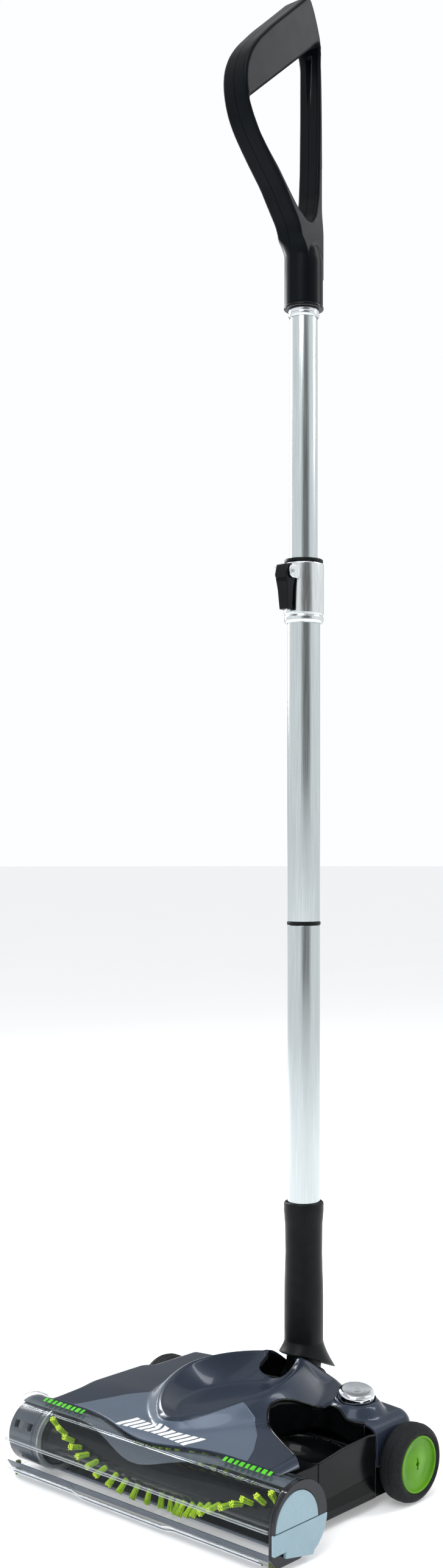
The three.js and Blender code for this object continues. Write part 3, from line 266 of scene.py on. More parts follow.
# Each finish: its maker, then its colours as display values and what else the maker takes
FINISHES = {
    "slate": (lacquer, (38, 46, 60), (49, 58, 73)),
    "slate_light": (lacquer, (82, 94, 110), (96, 108, 124)),
    "slate_inner": (gloss, (98, 107, 121), (116, 125, 138), 0.25, 0.4),
    "chamber": (gloss, (26, 30, 31), (38, 42, 42), 0.22, 0.38, 0.2),
    # Dark grey that paints the shade under the bonnet on the wall behind the brush.
    "black": (gloss, (6, 7, 8), (14, 16, 18), 0.08, 0.2, 0.16),
    "black_panel": (gloss, (4, 5, 6), (9, 10, 12), 0.1, 0.2, 0.1),
    "satin": (satin, (8, 10, 11), (15, 17, 19), 0.34, 0.46, 3.2e-5, 0.14),
    "handle": (satin, (6, 10, 13), (9, 14, 17), 0.3, 0.34, 2e-5, 0.07),
    "clear": (clear, (150, 158, 162), 0.04, 0.8, 1),
    "clear_low": (clear, (112, 118, 122), 0.03, 0.5, 1),
    # Pale, nearly opaque clear that paints the bright highlight along cut edges of clear plastic.
    "clear_edge": (clear, (226, 232, 236), 0.3, 0.9, 0.5),
    "frost": (clear, (84, 96, 108), 0.72, 0.95),
    "smoke": (gloss, (16, 19, 25), (28, 32, 39), 0.06, 0.14, 0.35),
    "ice": (gloss, (138, 164, 175), (143, 169, 180), 0.22, 0.32, 0.4),
    "silver": (gloss, (56, 62, 72), (76, 83, 94), 0.14, 0.26, 0.6),
    "green": (gloss, (74, 132, 2), (94, 154, 8), 0.22, 0.4, 0.25),
    "print": (gloss, (60, 176, 24), (96, 206, 40), 0.3, 0.45),
    "white": (gloss, (226, 228, 230), (246, 247, 248), 0.3, 0.45),
    "bristle": (bristle, (146, 196, 10), (196, 236, 26)),
    # The cut ends' lighter copy of the bristle finish: a painted highlight.
    "bristle_tip": (bristle, (214, 246, 30), (240, 255, 84)),
    "olive": (bristle, (62, 78, 16), (116, 138, 30)),
    "aluminium": (drawn_metal, (188, 196, 198), (203, 210, 211), (1, 1, 0.02), 0.16, 0.24),
    "collar": (drawn_metal, (208, 213, 214), (224, 228, 228), (0.6, 0.6, 0.05), 0.12, 0.2),
    "chrome": (chrome,),
    "steel": (drawn_metal, (128, 132, 138), (160, 163, 168), (0.05, 1, 1), 0.3, 0.45),
    "tyre": (rubber, (20, 21, 23), (34, 35, 37)),
    "belt": (rubber, (22, 22, 24), (34, 34, 36), 0.1),
    "board": (gloss, (18, 78, 40), (28, 98, 52), 0.3, 0.5),
}
M = {name: make(name, *values) for name, (make, *values) in FINISHES.items()}

# Which finish each CAD node wears, by its material slot in the record
SLOT_FINISH = {
    "slate_shell": "slate",
    "slate_trough": "slate_inner",
    "black_gloss": "black",
    "clear_window": "clear",
    "smoke_frame": "smoke",
    "ice_cap": "ice",
    "olive_tuft": "olive",
    "silver_drum": "silver",
    "black_satin": "satin",
    "belt_rubber": "belt",
    "motor_case": "steel",
    "battery_wrap": "satin",
    "board_green": "board",
    "steel": "steel",
    "lime_bristle": "bristle",
    "chromed_button": "chrome",
    "tyre_black": "tyre",
    "hub_green": "green",
    "tube_aluminium": "aluminium",
    "collar_aluminium": "collar",
    "chrome_ferrule": "chrome",
    "handle_black": "handle",
}
SLOT_OF = {part["node"]: part["material_slot"] for part in frame["record"]["subparts"]}
BODY_OF = {node: name for name, nodes in frame["record"]["behaviour"]["bodies"].items() for node in nodes}

# ---------- Mesh helpers ----------


def mesh_of(name, points, faces):
    """A mesh from layout points."""
    mesh = bpy.data.meshes.new(name)
    mesh.from_pydata(to_frame([tuple(p) for p in points]).tolist(), [], faces)
    return mesh


def piece(name, points, faces, finish, body, replaces=(), slot=None):
    """A new object from layout points, riding on a body and standing for CAD nodes."""
    return wrap(name, mesh_of(name, points, faces), finish, body, replaces, slot)


def wrap(name, mesh, finish, body, replaces=(), slot=None, sharp=35, closed=True):
    """Makes a mesh into a finished piece: normals out, smooth with sharp edges, material and body."""
    if closed:
        weld(mesh)
    mesh.shade_smooth()
    mesh.set_sharp_from_angle(angle=math.radians(sharp))
    made = add(name, mesh)
    mesh.materials.append(M[finish])
    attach(made, body)
    if replaces:
        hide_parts(*replaces)
        slot = slot or SLOT_OF[replaces[0]]
    return made


def soften(made, width, segments=3, angle=35):
    """Rounds an object's sharp edges by this many millimetres."""
    bevel = made.modifiers.new("round", "BEVEL")
    bevel.width = width * MM
    bevel.segments = segments
    bevel.limit_method = "ANGLE"
    bevel.angle_limit = math.radians(angle)
    return made


def fillet(points, radius, steps=4, closed=True):
    """A polyline with its corners rounded: each becomes a short curve that starts radius before it."""
    points = [Vector(p) for p in points]
    count = len(points)
    made = []
    for i, corner in enumerate(points):
        if not closed and i in (0, count - 1):
            made.append(corner)
            continue
        before = points[i - 1] - corner
        after = points[(i + 1) % count] - corner
        reach = min(radius, 0.45 * before.length, 0.45 * after.length)
        start = corner + before.normalized() * reach
        end = corner + after.normalized() * reach
        for k in range(steps + 1):
            t = k / steps
            made.append(start * (1 - t) ** 2 + corner * 2 * t * (1 - t) + end * t**2)
    return made


def arc(centre, radius, start, end, steps=24):
    """Points along an arc, between two angles in degrees."""
    angles = [math.radians(start + (end - start) * k / steps) for k in range(steps + 1)]
    return [(centre[0] + radius * math.cos(a), centre[1] + radius * math.sin(a)) for a in angles]


def grid_faces(rows, columns, wrap_rows=False, wrap_columns=False):
    """Quads over a grid of points stored row by row."""
    row_steps = rows if wrap_rows else rows - 1
    column_steps = columns if wrap_columns else columns - 1
    faces = []
    for j in range(row_steps):
        for i in range(column_steps):
            right = (i + 1) % columns
            low, high = j * columns, (j + 1) % rows * columns
            faces.append((low + i, low + right, high + right, high + i))
    return faces


def rod_faces(rings, sides):
    """Quads along a rod made of rings, with its two ends closed."""
    last = rings * sides - 1
    ends = [tuple(range(sides)), tuple(range(last, last - sides, -1))]
    return grid_faces(rings, sides, False, True) + ends


def lathe_points(profile, segments=96, axis="Z", centre=(0, 0, 0)):
    """Points of a profile of (radius, height) pairs turned about an axis, and their faces."""
    angles = np.arange(segments) * FULL_TURN / segments
    points = []
    for radius, height in profile:
        ring = [np.cos(angles) * radius, np.sin(angles) * radius, np.full(segments, height)]
        order = [2, 0, 1] if axis == "X" else [0, 1, 2]
        points.append(np.stack([ring[k] for k in order], axis=1))
    return np.concatenate(points) + np.array(centre), grid_faces(len(profile), segments, True, True)


def turned(
    name, profile, finish, body, replaces=(), axis="Z", centre=(0, 0, 0), round_by=0.5, segments=96, **more
):
    """A turned piece from a closed profile, with its corners rounded."""
    points, faces = lathe_points(fillet(profile, round_by), segments, axis, centre)
    return piece(name, points, faces, finish, body, replaces, **more)


def weld(mesh):
    """Merges doubled points, as where a profile meets its axis, and turns the faces outwards."""
    joint = bmesh.new()
    joint.from_mesh(mesh)
    bmesh.ops.remove_doubles(joint, verts=joint.verts, dist=1e-6)
    bmesh.ops.recalc_face_normals(joint, faces=joint.faces)
    joint.to_mesh(mesh)
    joint.free()
    return mesh


def slab(name, outline, low, high, finish, body, replaces=(), round_by=0.5, **more):
    """An outline in Y and Z carried along X, with rounded edges."""
    points = [(x, y, z) for x in (low, high) for y, z in outline]
    count = len(outline)
    faces = [tuple(range(count)), tuple(range(2 * count - 1, count - 1, -1))]
    faces += [(i, (i + 1) % count, (i + 1) % count + count, i + count) for i in range(count)]
    made = piece(name, points, faces, finish, body, replaces, **more)
    return soften(made, round_by) if round_by else made


def sheet_piece(name, bm, thickness, finish, body, replaces=(), round_by=0.5, inwards=True, **more):
    """An open surface given a thickness, with its edges rounded."""
    mesh = bpy.data.meshes.new(name)
    bm.to_mesh(mesh)
    bm.free()
    made = wrap(name, mesh, finish, body, replaces, closed=False, **more)
    thick = made.modifiers.new("thickness", "SOLIDIFY")
    thick.thickness = thickness * MM
    thick.offset = -1 if inwards else 1
    if round_by:
        soften(made, round_by, 2, 50)
        made.modifiers["round"].use_clamp_overlap = False
    return made


def open_grid(points, columns, rows):
    """An open surface as a bmesh, from a grid of layout points stored row by row."""
    mesh = mesh_of("surface", points, grid_faces(rows, columns))
    bm = bmesh.new()
    bm.from_mesh(mesh)
    bpy.data.meshes.remove(mesh)
    return bm


def surface(function, columns, rows):
    """An open surface from a function that takes two arrays from 0 to 1 to an array of points."""
    u, v = np.meshgrid(np.linspace(0, 1, columns), np.linspace(0, 1, rows))
    return open_grid(function(u.ravel(), v.ravel()), columns, rows)


def layout_points(bm):
    co = np.array([v.co[:] for v in bm.verts])
    return (co - np.array(LAYOUT)) / MM


def clip(bm, field, weld=0.12):
    """Keeps the part of an open surface where field(x, y, z) is positive, cut cleanly along its zero line."""
    bm.verts.ensure_lookup_table()
    bm.verts.index_update()
    values = np.array(field(*layout_points(bm).T), float)
    values[np.abs(values) < weld] = 0
    value = {v: values[v.index] for v in bm.verts}
    crossed = [e for e in bm.edges if value[e.verts[0]] * value[e.verts[1]] < 0]
    for edge in crossed:
        a, b = edge.verts
        share = value[a] / (value[a] - value[b])
        _, made = bmesh.utils.edge_split(edge, a, share)
        value[made] = 0.0
    for face in list(bm.faces):
        on = [v for v in face.verts if value[v] == 0]
        signs = {value[v] > 0 for v in face.verts if value[v] != 0}
        if len(on) == 2 and len(signs) == 2:
            bmesh.utils.face_split(face, on[0], on[1])
    gone = [f for f in bm.faces if min(value[v] for v in f.verts) < 0]
    gone += [f for f in bm.faces if all(value[v] == 0 for v in f.verts)]
    bmesh.ops.delete(bm, geom=list(set(gone)), context="FACES")
    loose = [v for v in bm.verts if not v.link_faces]
    bmesh.ops.delete(bm, geom=loose, context="VERTS")
    return bm


def joined(name, parts, finish, body, replaces=(), **more):
    """Several sets of (points, faces) as one piece."""
    points, faces, base = [], [], 0
    for part_points, part_faces in parts:
        points.append(np.asarray(part_points, float))
        faces += [tuple(i + base for i in f) for f in part_faces]
        base += len(part_points)
    return piece(name, np.concatenate(points), faces, finish, body, replaces, **more)


def cut(made, solids):
    """Cuts closed (points, faces) solids out of a piece."""
    for points, faces in solids:
        mesh = mesh_of("cutter", points, faces)
        cutter = add("cutter", mesh)
        fix = bmesh.new()
        fix.from_mesh(mesh)
        bmesh.ops.recalc_face_normals(fix, faces=fix.faces)
        fix.to_mesh(mesh)
        fix.free()
        modifier = made.modifiers.new("cut", "BOOLEAN")
        modifier.object = cutter
        modifier.solver = "EXACT"
        apply_modifiers(made)
        bpy.data.objects.remove(cutter)
        bpy.data.meshes.remove(mesh)
    return made


def apply_modifiers(made):
    """Replaces a piece's mesh by the one its modifiers make."""
    graph = bpy.context.evaluated_depsgraph_get()
    mesh = bpy.data.meshes.new_from_object(made.evaluated_get(graph))
    old = made.data
    made.modifiers.clear()
    made.data = mesh
    bpy.data.meshes.remove(old)


def block(x0, x1, y0, y1, z0, z1):
    """A cutter's corners and faces."""
    points = [(x, y, z) for x in (x0, x1) for y in (y0, y1) for z in (z0, z1)]
    return points, [(0, 1, 3, 2), (4, 6, 7, 5), (0, 4, 5, 1), (2, 3, 7, 6), (0, 2, 6, 4), (1, 5, 7, 3)]


def smooth(t):
    t = np.clip(t, 0, 1)
    return t * t * (3 - 2 * t)


def mix(a, b, t):
    return a + (b - a) * t


# ---------- Brush housing ----------

CORE_LOW, CORE_HIGH = box("brush_core")
LEFT_LOW, LEFT_HIGH = box("end_cap_left")
FRAME_LOW, FRAME_HIGH = box("end_frame_right")
UPPER_CAP_LOW, UPPER_CAP_HIGH = box("end_cap_right_upper")
LOWER_CAP_LOW, LOWER_CAP_HIGH = box("end_cap_right_lower")
BRUSH_Y = (CORE_LOW.y + CORE_HIGH.y) / 2
BRUSH_Z = (CORE_LOW.z + CORE_HIGH.z) / 2
BRUSH_AT = (0, BRUSH_Y, BRUSH_Z)
HOUSING_R = LEFT_HIGH.y - BRUSH_Y
HOUSING_WALL = 2
LEFT_X, RIGHT_X = LEFT_HIGH.x + 0.3, FRAME_LOW.x - 0.3
SEAM_Z = LOWER_CAP_HIGH.z + 0.3
HOOD_X = 119.5  # half of the width that lies behind the window's wavy edge
HOOD_REAR = -133.9
DIP_HALF, DIP = 75, 13
BAND_DEPTH = 9.5  # how far the frosted band reaches forward of the wavy edge
ARC_REAR = 178  # degrees above the front where the window and the rims end behind
LEDGE_REAR = -174.5
RAIL_R = 0.75


def bonnet_front(x):
    """Y of the line in plan where the window meets the bonnet; it dips forward in the middle."""
    t = np.minimum(1, np.abs(x) / DIP_HALF)
    return BRUSH_Y + 1 - DIP * (1 + np.cos(np.pi * t)) / 2


def behind_front(margin):
    """A field that is positive behind the window's edge, between the two ends that the window wraps."""

    def field(x, y, z):
        between = HOOD_X - margin - np.abs(x)
        return np.minimum(y - bonnet_front(x) - margin, np.maximum(between, y - HOOD_REAR))

    return field


def on_housing(degrees, x, radius):
    angle = np.radians(degrees)
    return np.stack([x, BRUSH_Y - radius * np.cos(angle), BRUSH_Z + radius * np.sin(angle)], axis=-1)


def housing_arc(first, last, radius, x0, x1):
    """A stretch of the housing tube, as a function for surface()."""
    return lambda u, v: on_housing(first + (last - first) * v, x0 + (x1 - x0) * u, np.full_like(u, radius))


def make_window():
    """The clear upper window, a frosted band along its wavy edge, and the clear apron below the seam."""
    low = math.degrees(math.asin((SEAM_Z + 0.3 - BRUSH_Z) / HOUSING_R))
    outside = behind_front(-0.3)

    def before_bonnet(radius, inset):
        arc_points = housing_arc(low, ARC_REAR, radius, LEFT_X + inset, RIGHT_X - inset)
        return clip(surface(arc_points, 200, 60), lambda *p: -outside(*p))

    upper = before_bonnet(HOUSING_R, 0)
    sheet_piece("window_upper_clear", upper, HOUSING_WALL, "clear", "head", ["window_upper"], 0.4)
    band = before_bonnet(HOUSING_R - HOUSING_WALL - 0.2, 1)
    clip(band, lambda x, y, z: y - np.where(np.abs(x) < HOOD_X, bonnet_front(x), BRUSH_Y + 1) + BAND_DEPTH)
    clip(band, lambda x, y, z: 0.5 + bonnet_front(x) - y + np.where(np.abs(x) < HOOD_X, 0, 30))
    sheet_piece("window_band", band, 0.5, "frost", "head", round_by=0, slot="clear_window")
    lip = box("window_lower")
    front, floor, rear = lip[0].y, lip[0].z, lip[1].y
    outline = [
        (front, SEAM_Z), (front, 11), (front + 3.5, floor + 1.6), (front + 5.5, floor), (rear, floor),
        (rear, floor + 2), (front + 6.9, floor + 2), (front + 2, 12), (front + 2, SEAM_Z),
    ]
    slab("window_apron", outline, LEFT_X, RIGHT_X, "clear_low", "head", ["window_lower"], round_by=0.4)


def make_apron_rails():
    """The bright double rail along the apron's foot, stepped down in the middle, and the ledge behind it."""
    front = box("window_lower")[0].y
    steps = [(LEFT_X + 8, 0), (-58, 0), (-50, -1.6), (34, -1.6), (42, 0), (RIGHT_X - 8, 0)]
    for level, (height, reach) in enumerate([(8.2, 0.4), (4.6, 3.4)]):
        path = fillet([(x, height + drop) for x, drop in steps], 3, 5, closed=False)
        section = arc((0, 0), RAIL_R, 0, 330, 11)
        points = [(p.x, front + reach + a, p.y + b) for p in path for a, b in section]
        faces = rod_faces(len(path), len(section))
        piece(f"apron_rail_{level + 1}", points, faces, "chrome", "head", slot="clear_window")
    ledge = [(front + 2.4, 12), (front + 6.4, 5.9), (LEDGE_REAR, 5.9), (LEDGE_REAR, 6.7), (front + 7, 6.7),
             (front + 3.2, 12)]
    slab("apron_ledge", ledge, LEFT_X + 1, RIGHT_X - 1, "slate_inner", "head", round_by=0.15,
         slot="slate_trough")


def make_seam_rims():
    """Pale strips along the cut edges of the window and apron where they meet at the seam: painted
    highlights.
    """
    half = 0.35
    front = box("window_lower")[0].y
    y0, y1 = front - 0.05, front + 1.2
    for k, z in enumerate((SEAM_Z - 0.7, SEAM_Z + 0.9)):
        outline = fillet([(y0, z - half), (y1, z - half), (y1, z + half), (y0, z + half)], 0.15, 2)
        slab(f"seam_glint_{k + 1}", outline, LEFT_X + 0.5, RIGHT_X - 0.5, "clear_edge", "head", round_by=0,
             slot="clear_window")


def end_outline(radius, lip_low=3.4):
    """A housing end in Y and Z: round above, down to the lip at the front."""
    front = BRUSH_Y - radius
    return [
        *arc((BRUSH_Y, BRUSH_Z), radius, 180, -60, 64), (BRUSH_Y + 2, lip_low), (front + 6, lip_low),
        (front, 11),
    ]


def make_left_cap():
    """The clear left end, and a pale bead along its edge that is a painted highlight."""
    slab("end_cap_left_clear", end_outline(HOUSING_R), LEFT_LOW.x, LEFT_HIGH.x, "clear", "head",
         ["end_cap_left"], round_by=0.9)
    rim = arc((BRUSH_Y, BRUSH_Z), HOUSING_R - 0.6, ARC_REAR, -60, 64)
    section = arc((0, 0), 0.55, 0, 300, 5)
    points = []
    for y, z in rim:
        for a, b in section:
            grow = 1 + a / HOUSING_R
            points.append((LEFT_LOW.x + 0.9 + b, mix(BRUSH_Y, y, grow), mix(BRUSH_Z, z, grow)))
    piece("end_cap_left_glint", points, grid_faces(len(rim), len(section), False, True), "clear_edge", "head",
          slot="clear_window")


def half_oval(middle, foot, half, high, steps):
    """The upper half of an ellipse, from its +Y end."""
    return [(middle + half * math.cos(a), foot + high * math.sin(a)) for a in np.linspace(0, np.pi, steps)]


def make_right_end():
    """The smoked end frame, its shoulder round the upper cap, and the two pale caps."""
    slab("end_frame_smoked", end_outline(HOUSING_R), FRAME_LOW.x, FRAME_HIGH.x, "smoke", "head",
         ["end_frame_right"], round_by=0.7)
    middle = (UPPER_CAP_LOW.y + UPPER_CAP_HIGH.y) / 2
    half = (UPPER_CAP_HIGH.y - UPPER_CAP_LOW.y) / 2
    shoulder = arc((BRUSH_Y, BRUSH_Z), HOUSING_R, ARC_REAR, -4, 56)
    inner = half_oval(middle, SEAM_Z, half, UPPER_CAP_HIGH.z - SEAM_Z + 0.4, 57)
    rear, front = BRUSH_Y + HOUSING_R - 0.1, BRUSH_Y - HOUSING_R + 0.1
    ring = [*shoulder, (rear, SEAM_Z + 0.2), *inner, (front, SEAM_Z + 0.2)]
    slab("cap_shoulder", ring, FRAME_HIGH.x + 0.15, UPPER_CAP_HIGH.x - 0.5, "smoke", "head", round_by=0.8,
         slot="smoke_frame")
    high = UPPER_CAP_HIGH.z - UPPER_CAP_LOW.z - 0.3
    dome = half_oval(middle, UPPER_CAP_LOW.z, half - 0.3, high, 49)
    slab("cap_upper_pale", dome, UPPER_CAP_LOW.x, UPPER_CAP_HIGH.x, "ice", "head", ["end_cap_right_upper"],
         round_by=0.6)
    low = [
        (LOWER_CAP_LOW.y, LOWER_CAP_HIGH.z), (LOWER_CAP_LOW.y, 14), (-176, 14), (-176, 9.7),
        (-149, LOWER_CAP_LOW.z), *arc((BRUSH_Y, BRUSH_Z), HOUSING_R, -60, -5, 24),
        (LOWER_CAP_HIGH.y, LOWER_CAP_HIGH.z),
    ]
    slab("cap_lower_pale", low, LOWER_CAP_LOW.x, LOWER_CAP_HIGH.x, "ice", "head", ["end_cap_right_lower"],
         round_by=0.6)


TROUGH_ARC = (196, 265)  # degrees above the front
CHAMBER_ARC = (100, 264)
CHAMBER_LEFT = -98


def make_chamber():
    """The wall behind the brush, painted dark grey for the shade under the bonnet, and the paler trough below
    it.
    """
    inner = HOUSING_R - 0.1
    low = surface(housing_arc(*TROUGH_ARC, inner, LEFT_X + 0.3, RIGHT_X - 0.3), 160, 24)
    sheet_piece("trough_low", low, HOUSING_WALL, "slate_inner", "head", ["brush_trough"], 0.3)
    wall = surface(housing_arc(*CHAMBER_ARC, inner - HOUSING_WALL - 0.15, CHAMBER_LEFT, RIGHT_X - 2), 160, 48)
    clip(wall, lambda x, y, z: y - bonnet_front(x) + 2)
    # The wall is the same slate part as the trough; its dark finish is painted shade.
    sheet_piece("chamber_wall", wall, 0.6, "chamber", "head", slot="slate_trough", round_by=0.2)


def make_drum():
    """The silver drum at the brush's left end, slotted in front, and the clear flange beside it."""
    low, high = box("drive_drum")
    radius = (high.z - low.z) / 2
    profile = [
        (7.3, low.x), (radius - 1.2, low.x), (radius, low.x + 1.2), (radius, high.x - 6.5),
        (radius - 0.9, high.x - 6), (radius - 0.9, high.x - 4.6), (radius, high.x - 4), (radius, high.x),
        (radius - 2, high.x), (radius - 2, low.x + 2), (7.3, low.x + 2),
    ]
    made = turned("drive_drum_silver", profile, "silver", "head", ["drive_drum"], "X", BRUSH_AT, 0.4)
    cut(made, [block(x, x + 4.6, BRUSH_Y - 30, BRUSH_Y - 12, 37, 42) for x in (-128, -113.5)])
    # The flange wears the pale clear finish that paints a highlight on it.
    flange = [(radius - 3, high.x + 0.4), (radius + 0.8, high.x + 0.4), (radius + 0.8, high.x + 2.2),
              (radius - 3, high.x + 2.2)]
    turned("drum_flange_clear", flange, "clear_edge", "head", (), "X", BRUSH_AT, 0.4, slot="clear_window")


# ---------- Brush ----------

FILAMENTS = 19
FILAMENT_R = 0.46
TUFT_PITCHES = 24
ROW_FROM, ROW_TO = -94, 122
CHEVRON_LOW, CHEVRON_TURN = -85, 140
BRISTLE_R = 23.2
TIP = 1.1  # length of a filament's end that is painted lighter, a painted highlight
CORE_R = 11
GOLDEN_ANGLE = math.radians(137.5)


def row_angle(x, row):
    """Degrees above the front of a row of tufts at X; the second row is half a turn on."""
    middle = (ROW_FROM + ROW_TO) / 2
    return CHEVRON_LOW + CHEVRON_TURN * abs(x - middle) / (ROW_TO - middle) + 180 * row


def tuft(draw, low, high, radius, flare=1.3):
    """A bundle of filaments along +Z: a hexagon of rods that spread a little towards their cut ends."""
    points, faces = [], []
    for k in range(FILAMENTS):
        out = radius * math.sqrt((k + 0.5) / FILAMENTS) * 0.86
        turn = GOLDEN_ANGLE * k + draw.uniform(-0.2, 0.2)
        top = high + draw.uniform(-0.7, 0.25)
        spread = flare + draw.uniform(-0.12, 0.14)
        for share, level in ((1, low), (0.98, mix(low, top, 0.5)), (spread, top)):
            for corner in range(6):
                a = FULL_TURN * corner / 6
                points.append((
                    out * share * math.cos(turn) + FILAMENT_R * math.cos(a),
                    out * share * math.sin(turn) + FILAMENT_R * math.sin(a),
                    level,
                ))
        base = 18 * k
        faces += [tuple(base + i for i in f) for f in grid_faces(3, 6, False, True)]
        faces.append(tuple(base + 12 + i for i in range(6)))
        faces.append(tuple(base + i for i in range(5, -1, -1)))
    return np.array(points), faces


def placed(points, centre, out):
    """Points made along +Z, turned so that +Z runs along out, then moved to centre."""
    turn = Vector((0, 0, 1)).rotation_difference(Vector(out)).to_matrix()
    return np.asarray(points) @ np.array(turn).T + np.array(centre)


def paint_tip_highlights(mesh):
    """Gives the cut ends of the filaments a paler copy of the bristle finish: a painted highlight where they
    catch the light.
    """
    mesh.materials.append(M["bristle_tip"])
    axis = np.array([BRUSH_Y, BRUSH_Z]) * MM + np.array([LAYOUT.y, 0])
    for face in mesh.polygons:
        if math.hypot(face.center.y - axis[0], face.center.z - axis[1]) > (BRISTLE_R - TIP) * MM:
            face.material_index = 1


def make_bristles():
    """Two chevron rows of tufts, each tuft in a round socket on the core."""
    draw = random.Random(7)
    socket = fillet([(0.2, CORE_R - 1), (2.9, CORE_R - 1), (2.7, CORE_R + 1.3), (0.2, CORE_R + 1.3)], 0.4, 2)
    for row in (0, 1):
        tufts, collars = [], []
        for i in range(TUFT_PITCHES):
            x = ROW_FROM + (ROW_TO - ROW_FROM) * i / (TUFT_PITCHES - 1)
            angle = math.radians(row_angle(x, row))
            lean = draw.uniform(-0.05, 0.05)
            out = Vector((lean, -math.cos(angle), math.sin(angle))).normalized()
            centre = (x, BRUSH_Y, BRUSH_Z)
            points, faces = tuft(draw, CORE_R - 0.5, BRISTLE_R, 2.0)
            tufts.append((placed(points, centre, out), faces))
            points, faces = lathe_points(socket, 16)
            collars.append((placed(points, centre, out), faces))
        made = joined(f"bristle_row_{row + 1}_tufts", tufts, "bristle", "brush", [f"bristle_row_{row + 1}"])
        paint_tip_highlights(made.data)
        joined(f"bristle_row_{row + 1}_sockets", collars, "satin", "brush", slot="black_satin")


def make_core():
    """The black core with its end flanges and six low ribs."""
    low, high = CORE_LOW.x, CORE_HIGH.x
    flange = box("drive_drum")[1].x
    core = [
        (0, low), (3, low), (3, flange + 0.3), (18, flange + 0.3), (18, flange + 3), (15, flange + 4),
        (CORE_R + 1, flange + 9), (CORE_R, flange + 14), (CORE_R, 120), (CORE_R + 3.4, 123.5),
        (CORE_R + 3.4, 127), (CORE_R, 128), (3, 128), (3, high), (0, high),
    ]
    turned("brush_core_black", core, "black", "brush", ["brush_core"], "X", BRUSH_AT, 0.8)
    ribs = []
    for k in range(6):
        points, faces = block(flange + 16, 118, -0.5, 0.5, CORE_R - 0.4, CORE_R + 0.35)
        turn = Matrix.Rotation(FULL_TURN * (k + 0.5) / 6, 3, "X")
        ribs.append((np.array(points) @ np.array(turn).T + np.array(BRUSH_AT), faces))
    joined("brush_core_ribs", ribs, "black", "brush", slot="black_satin")


def make_edge_tufts():
    """A bundle of olive filaments that hangs at each front corner."""
    draw = random.Random(11)
    for side in ("left", "right"):
        low, high = box(f"edge_tuft_{side}")
        middle = (low + high) / 2
        points, faces = tuft(draw, 0, high.z - low.z, 2.1, 1.1)
        points = placed(points, (middle.x, middle.y, high.z), (0, 0, -1))
        joined(f"edge_tuft_{side}_bundle", [(points, faces)], "olive", "head", [f"edge_tuft_{side}"])


# ---------- Bonnet ----------

SHELL_WALL = 2.2
BODY_LEFT, BODY_RIGHT = -box("top_shell")[0].x, 118
BODY_REAR, REAR_MIDDLE = -5, 9
ARCH_HALF, ARCH_FROM = 113.4, -66
CURL_R, EDGE_RUN = 11, 40
SKIRT_Z = 28
CROWN, CROWN_RISE = 56, 6
DISH = {"x": 42, "y": 65, "middle": -81, "depth": 25, "power": 1.65}
RIM = {"middle": 78.4, "rise": 7, "sag": 6.4}
RIDGE_TOP, RIDGE_FALL = 80, 20
SLOT_HALF, SLOT_FRONT, SLOT_CORNER = 14.7, -38, 5
TYRE_LOW, TYRE_HIGH = box("wheel_tyre_right")
WHEEL_R = (TYRE_HIGH.z - TYRE_LOW.z) / 2
WHEEL_Y = (TYRE_LOW.y + TYRE_HIGH.y) / 2
AXLE_HOLE_R = 4
BUTTON_AT = Vector((84, -39, 68))
BUTTON_TURN = Matrix.Rotation(math.radians(6), 3, "X") @ Matrix.Rotation(math.radians(10), 3, "Y")
BUTTON_R = 13.3
RECESS = [(128, -146), (107, -133), (88, -124), (71, -115), (57, -105), (51, -97), (51, -89), (53, -80),
          (56, -68), (60, -57), (68, -54), (82, -57), (96, -60), (112, -52), (128, -46)]


def soft_max(a, b, k):
    """The larger of two heights, blended where they come within k of each other."""
    share = np.clip(0.5 + (a - b) / (2 * k), 0, 1)
    return mix(b, a, share) + k * share * (1 - share)


def dish_reach(x, y):
    """0 in the middle of the dish, 1 on its rim."""
    a, b = np.abs(x) / DISH["x"], np.abs(y - DISH["middle"]) / DISH["y"]
    return (a ** DISH["power"] + b ** DISH["power"]) ** (1 / DISH["power"])


def rim_height(y):
    """Height of the dish's rim, which rises towards the neck."""
    q = np.clip((y - DISH["middle"]) / DISH["y"], -1, 1)
    return RIM["middle"] + RIM["rise"] * q - RIM["sag"] * q * q


def crown_height(x, y):
    """Height of the plain bonnet: round over the brush, then a shallow crown."""
    tube = BRUSH_Z + np.sqrt(np.maximum(HOUSING_R**2 - (y - BRUSH_Y) ** 2, 0))
    rise = smooth((y - BRUSH_Y) / 50) * np.maximum(0, 1 - 0.7 * (x / 115) ** 2)
    return np.where(y < BRUSH_Y, tube, CROWN + CROWN_RISE * rise)


def bonnet_height(x, y):
    """Height of the bonnet: crown, dish with its rim, ridges beside the neck, and the button's boss."""
    crown, reach, rim = crown_height(x, y), dish_reach(x, y), rim_height(y)
    inside = rim - DISH["depth"] * (1 - reach**2.2)
    distance = np.hypot(x, y - DISH["middle"]) * np.maximum(reach - 1, 0) / np.maximum(reach, 1e-6)
    frontness = np.clip((DISH["middle"] - y) / DISH["y"], 0, 1) ** 2
    outside = crown + (rim - crown) * (1 - smooth(distance / mix(24, 12, frontness)))
    height = -soft_max(-inside, -outside, 1.2)
    ridge = RIDGE_TOP - RIDGE_FALL * smooth((y + 26) / 40)
    beside = (1 - smooth((np.abs(x) - 17) / 20)) * smooth((y + 36) / 12)
    height = soft_max(height, crown + (ridge - crown) * beside, 1.5)
    boss = 1 - smooth((np.hypot(x - BUTTON_AT.x, y - BUTTON_AT.y) - 15) / 9)
    return soft_max(height, crown + (BUTTON_AT.z - 1 - crown) * boss, 1)


def body_half(full, y):
    """Half of the bonnet's width at Y: narrower behind the window and over the wheels."""
    front = mix(HOOD_X - 0.7, full, smooth((y + 134) / 24))
    return mix(np.minimum(full, front), ARCH_HALF, smooth((y - ARCH_FROM) / 9))


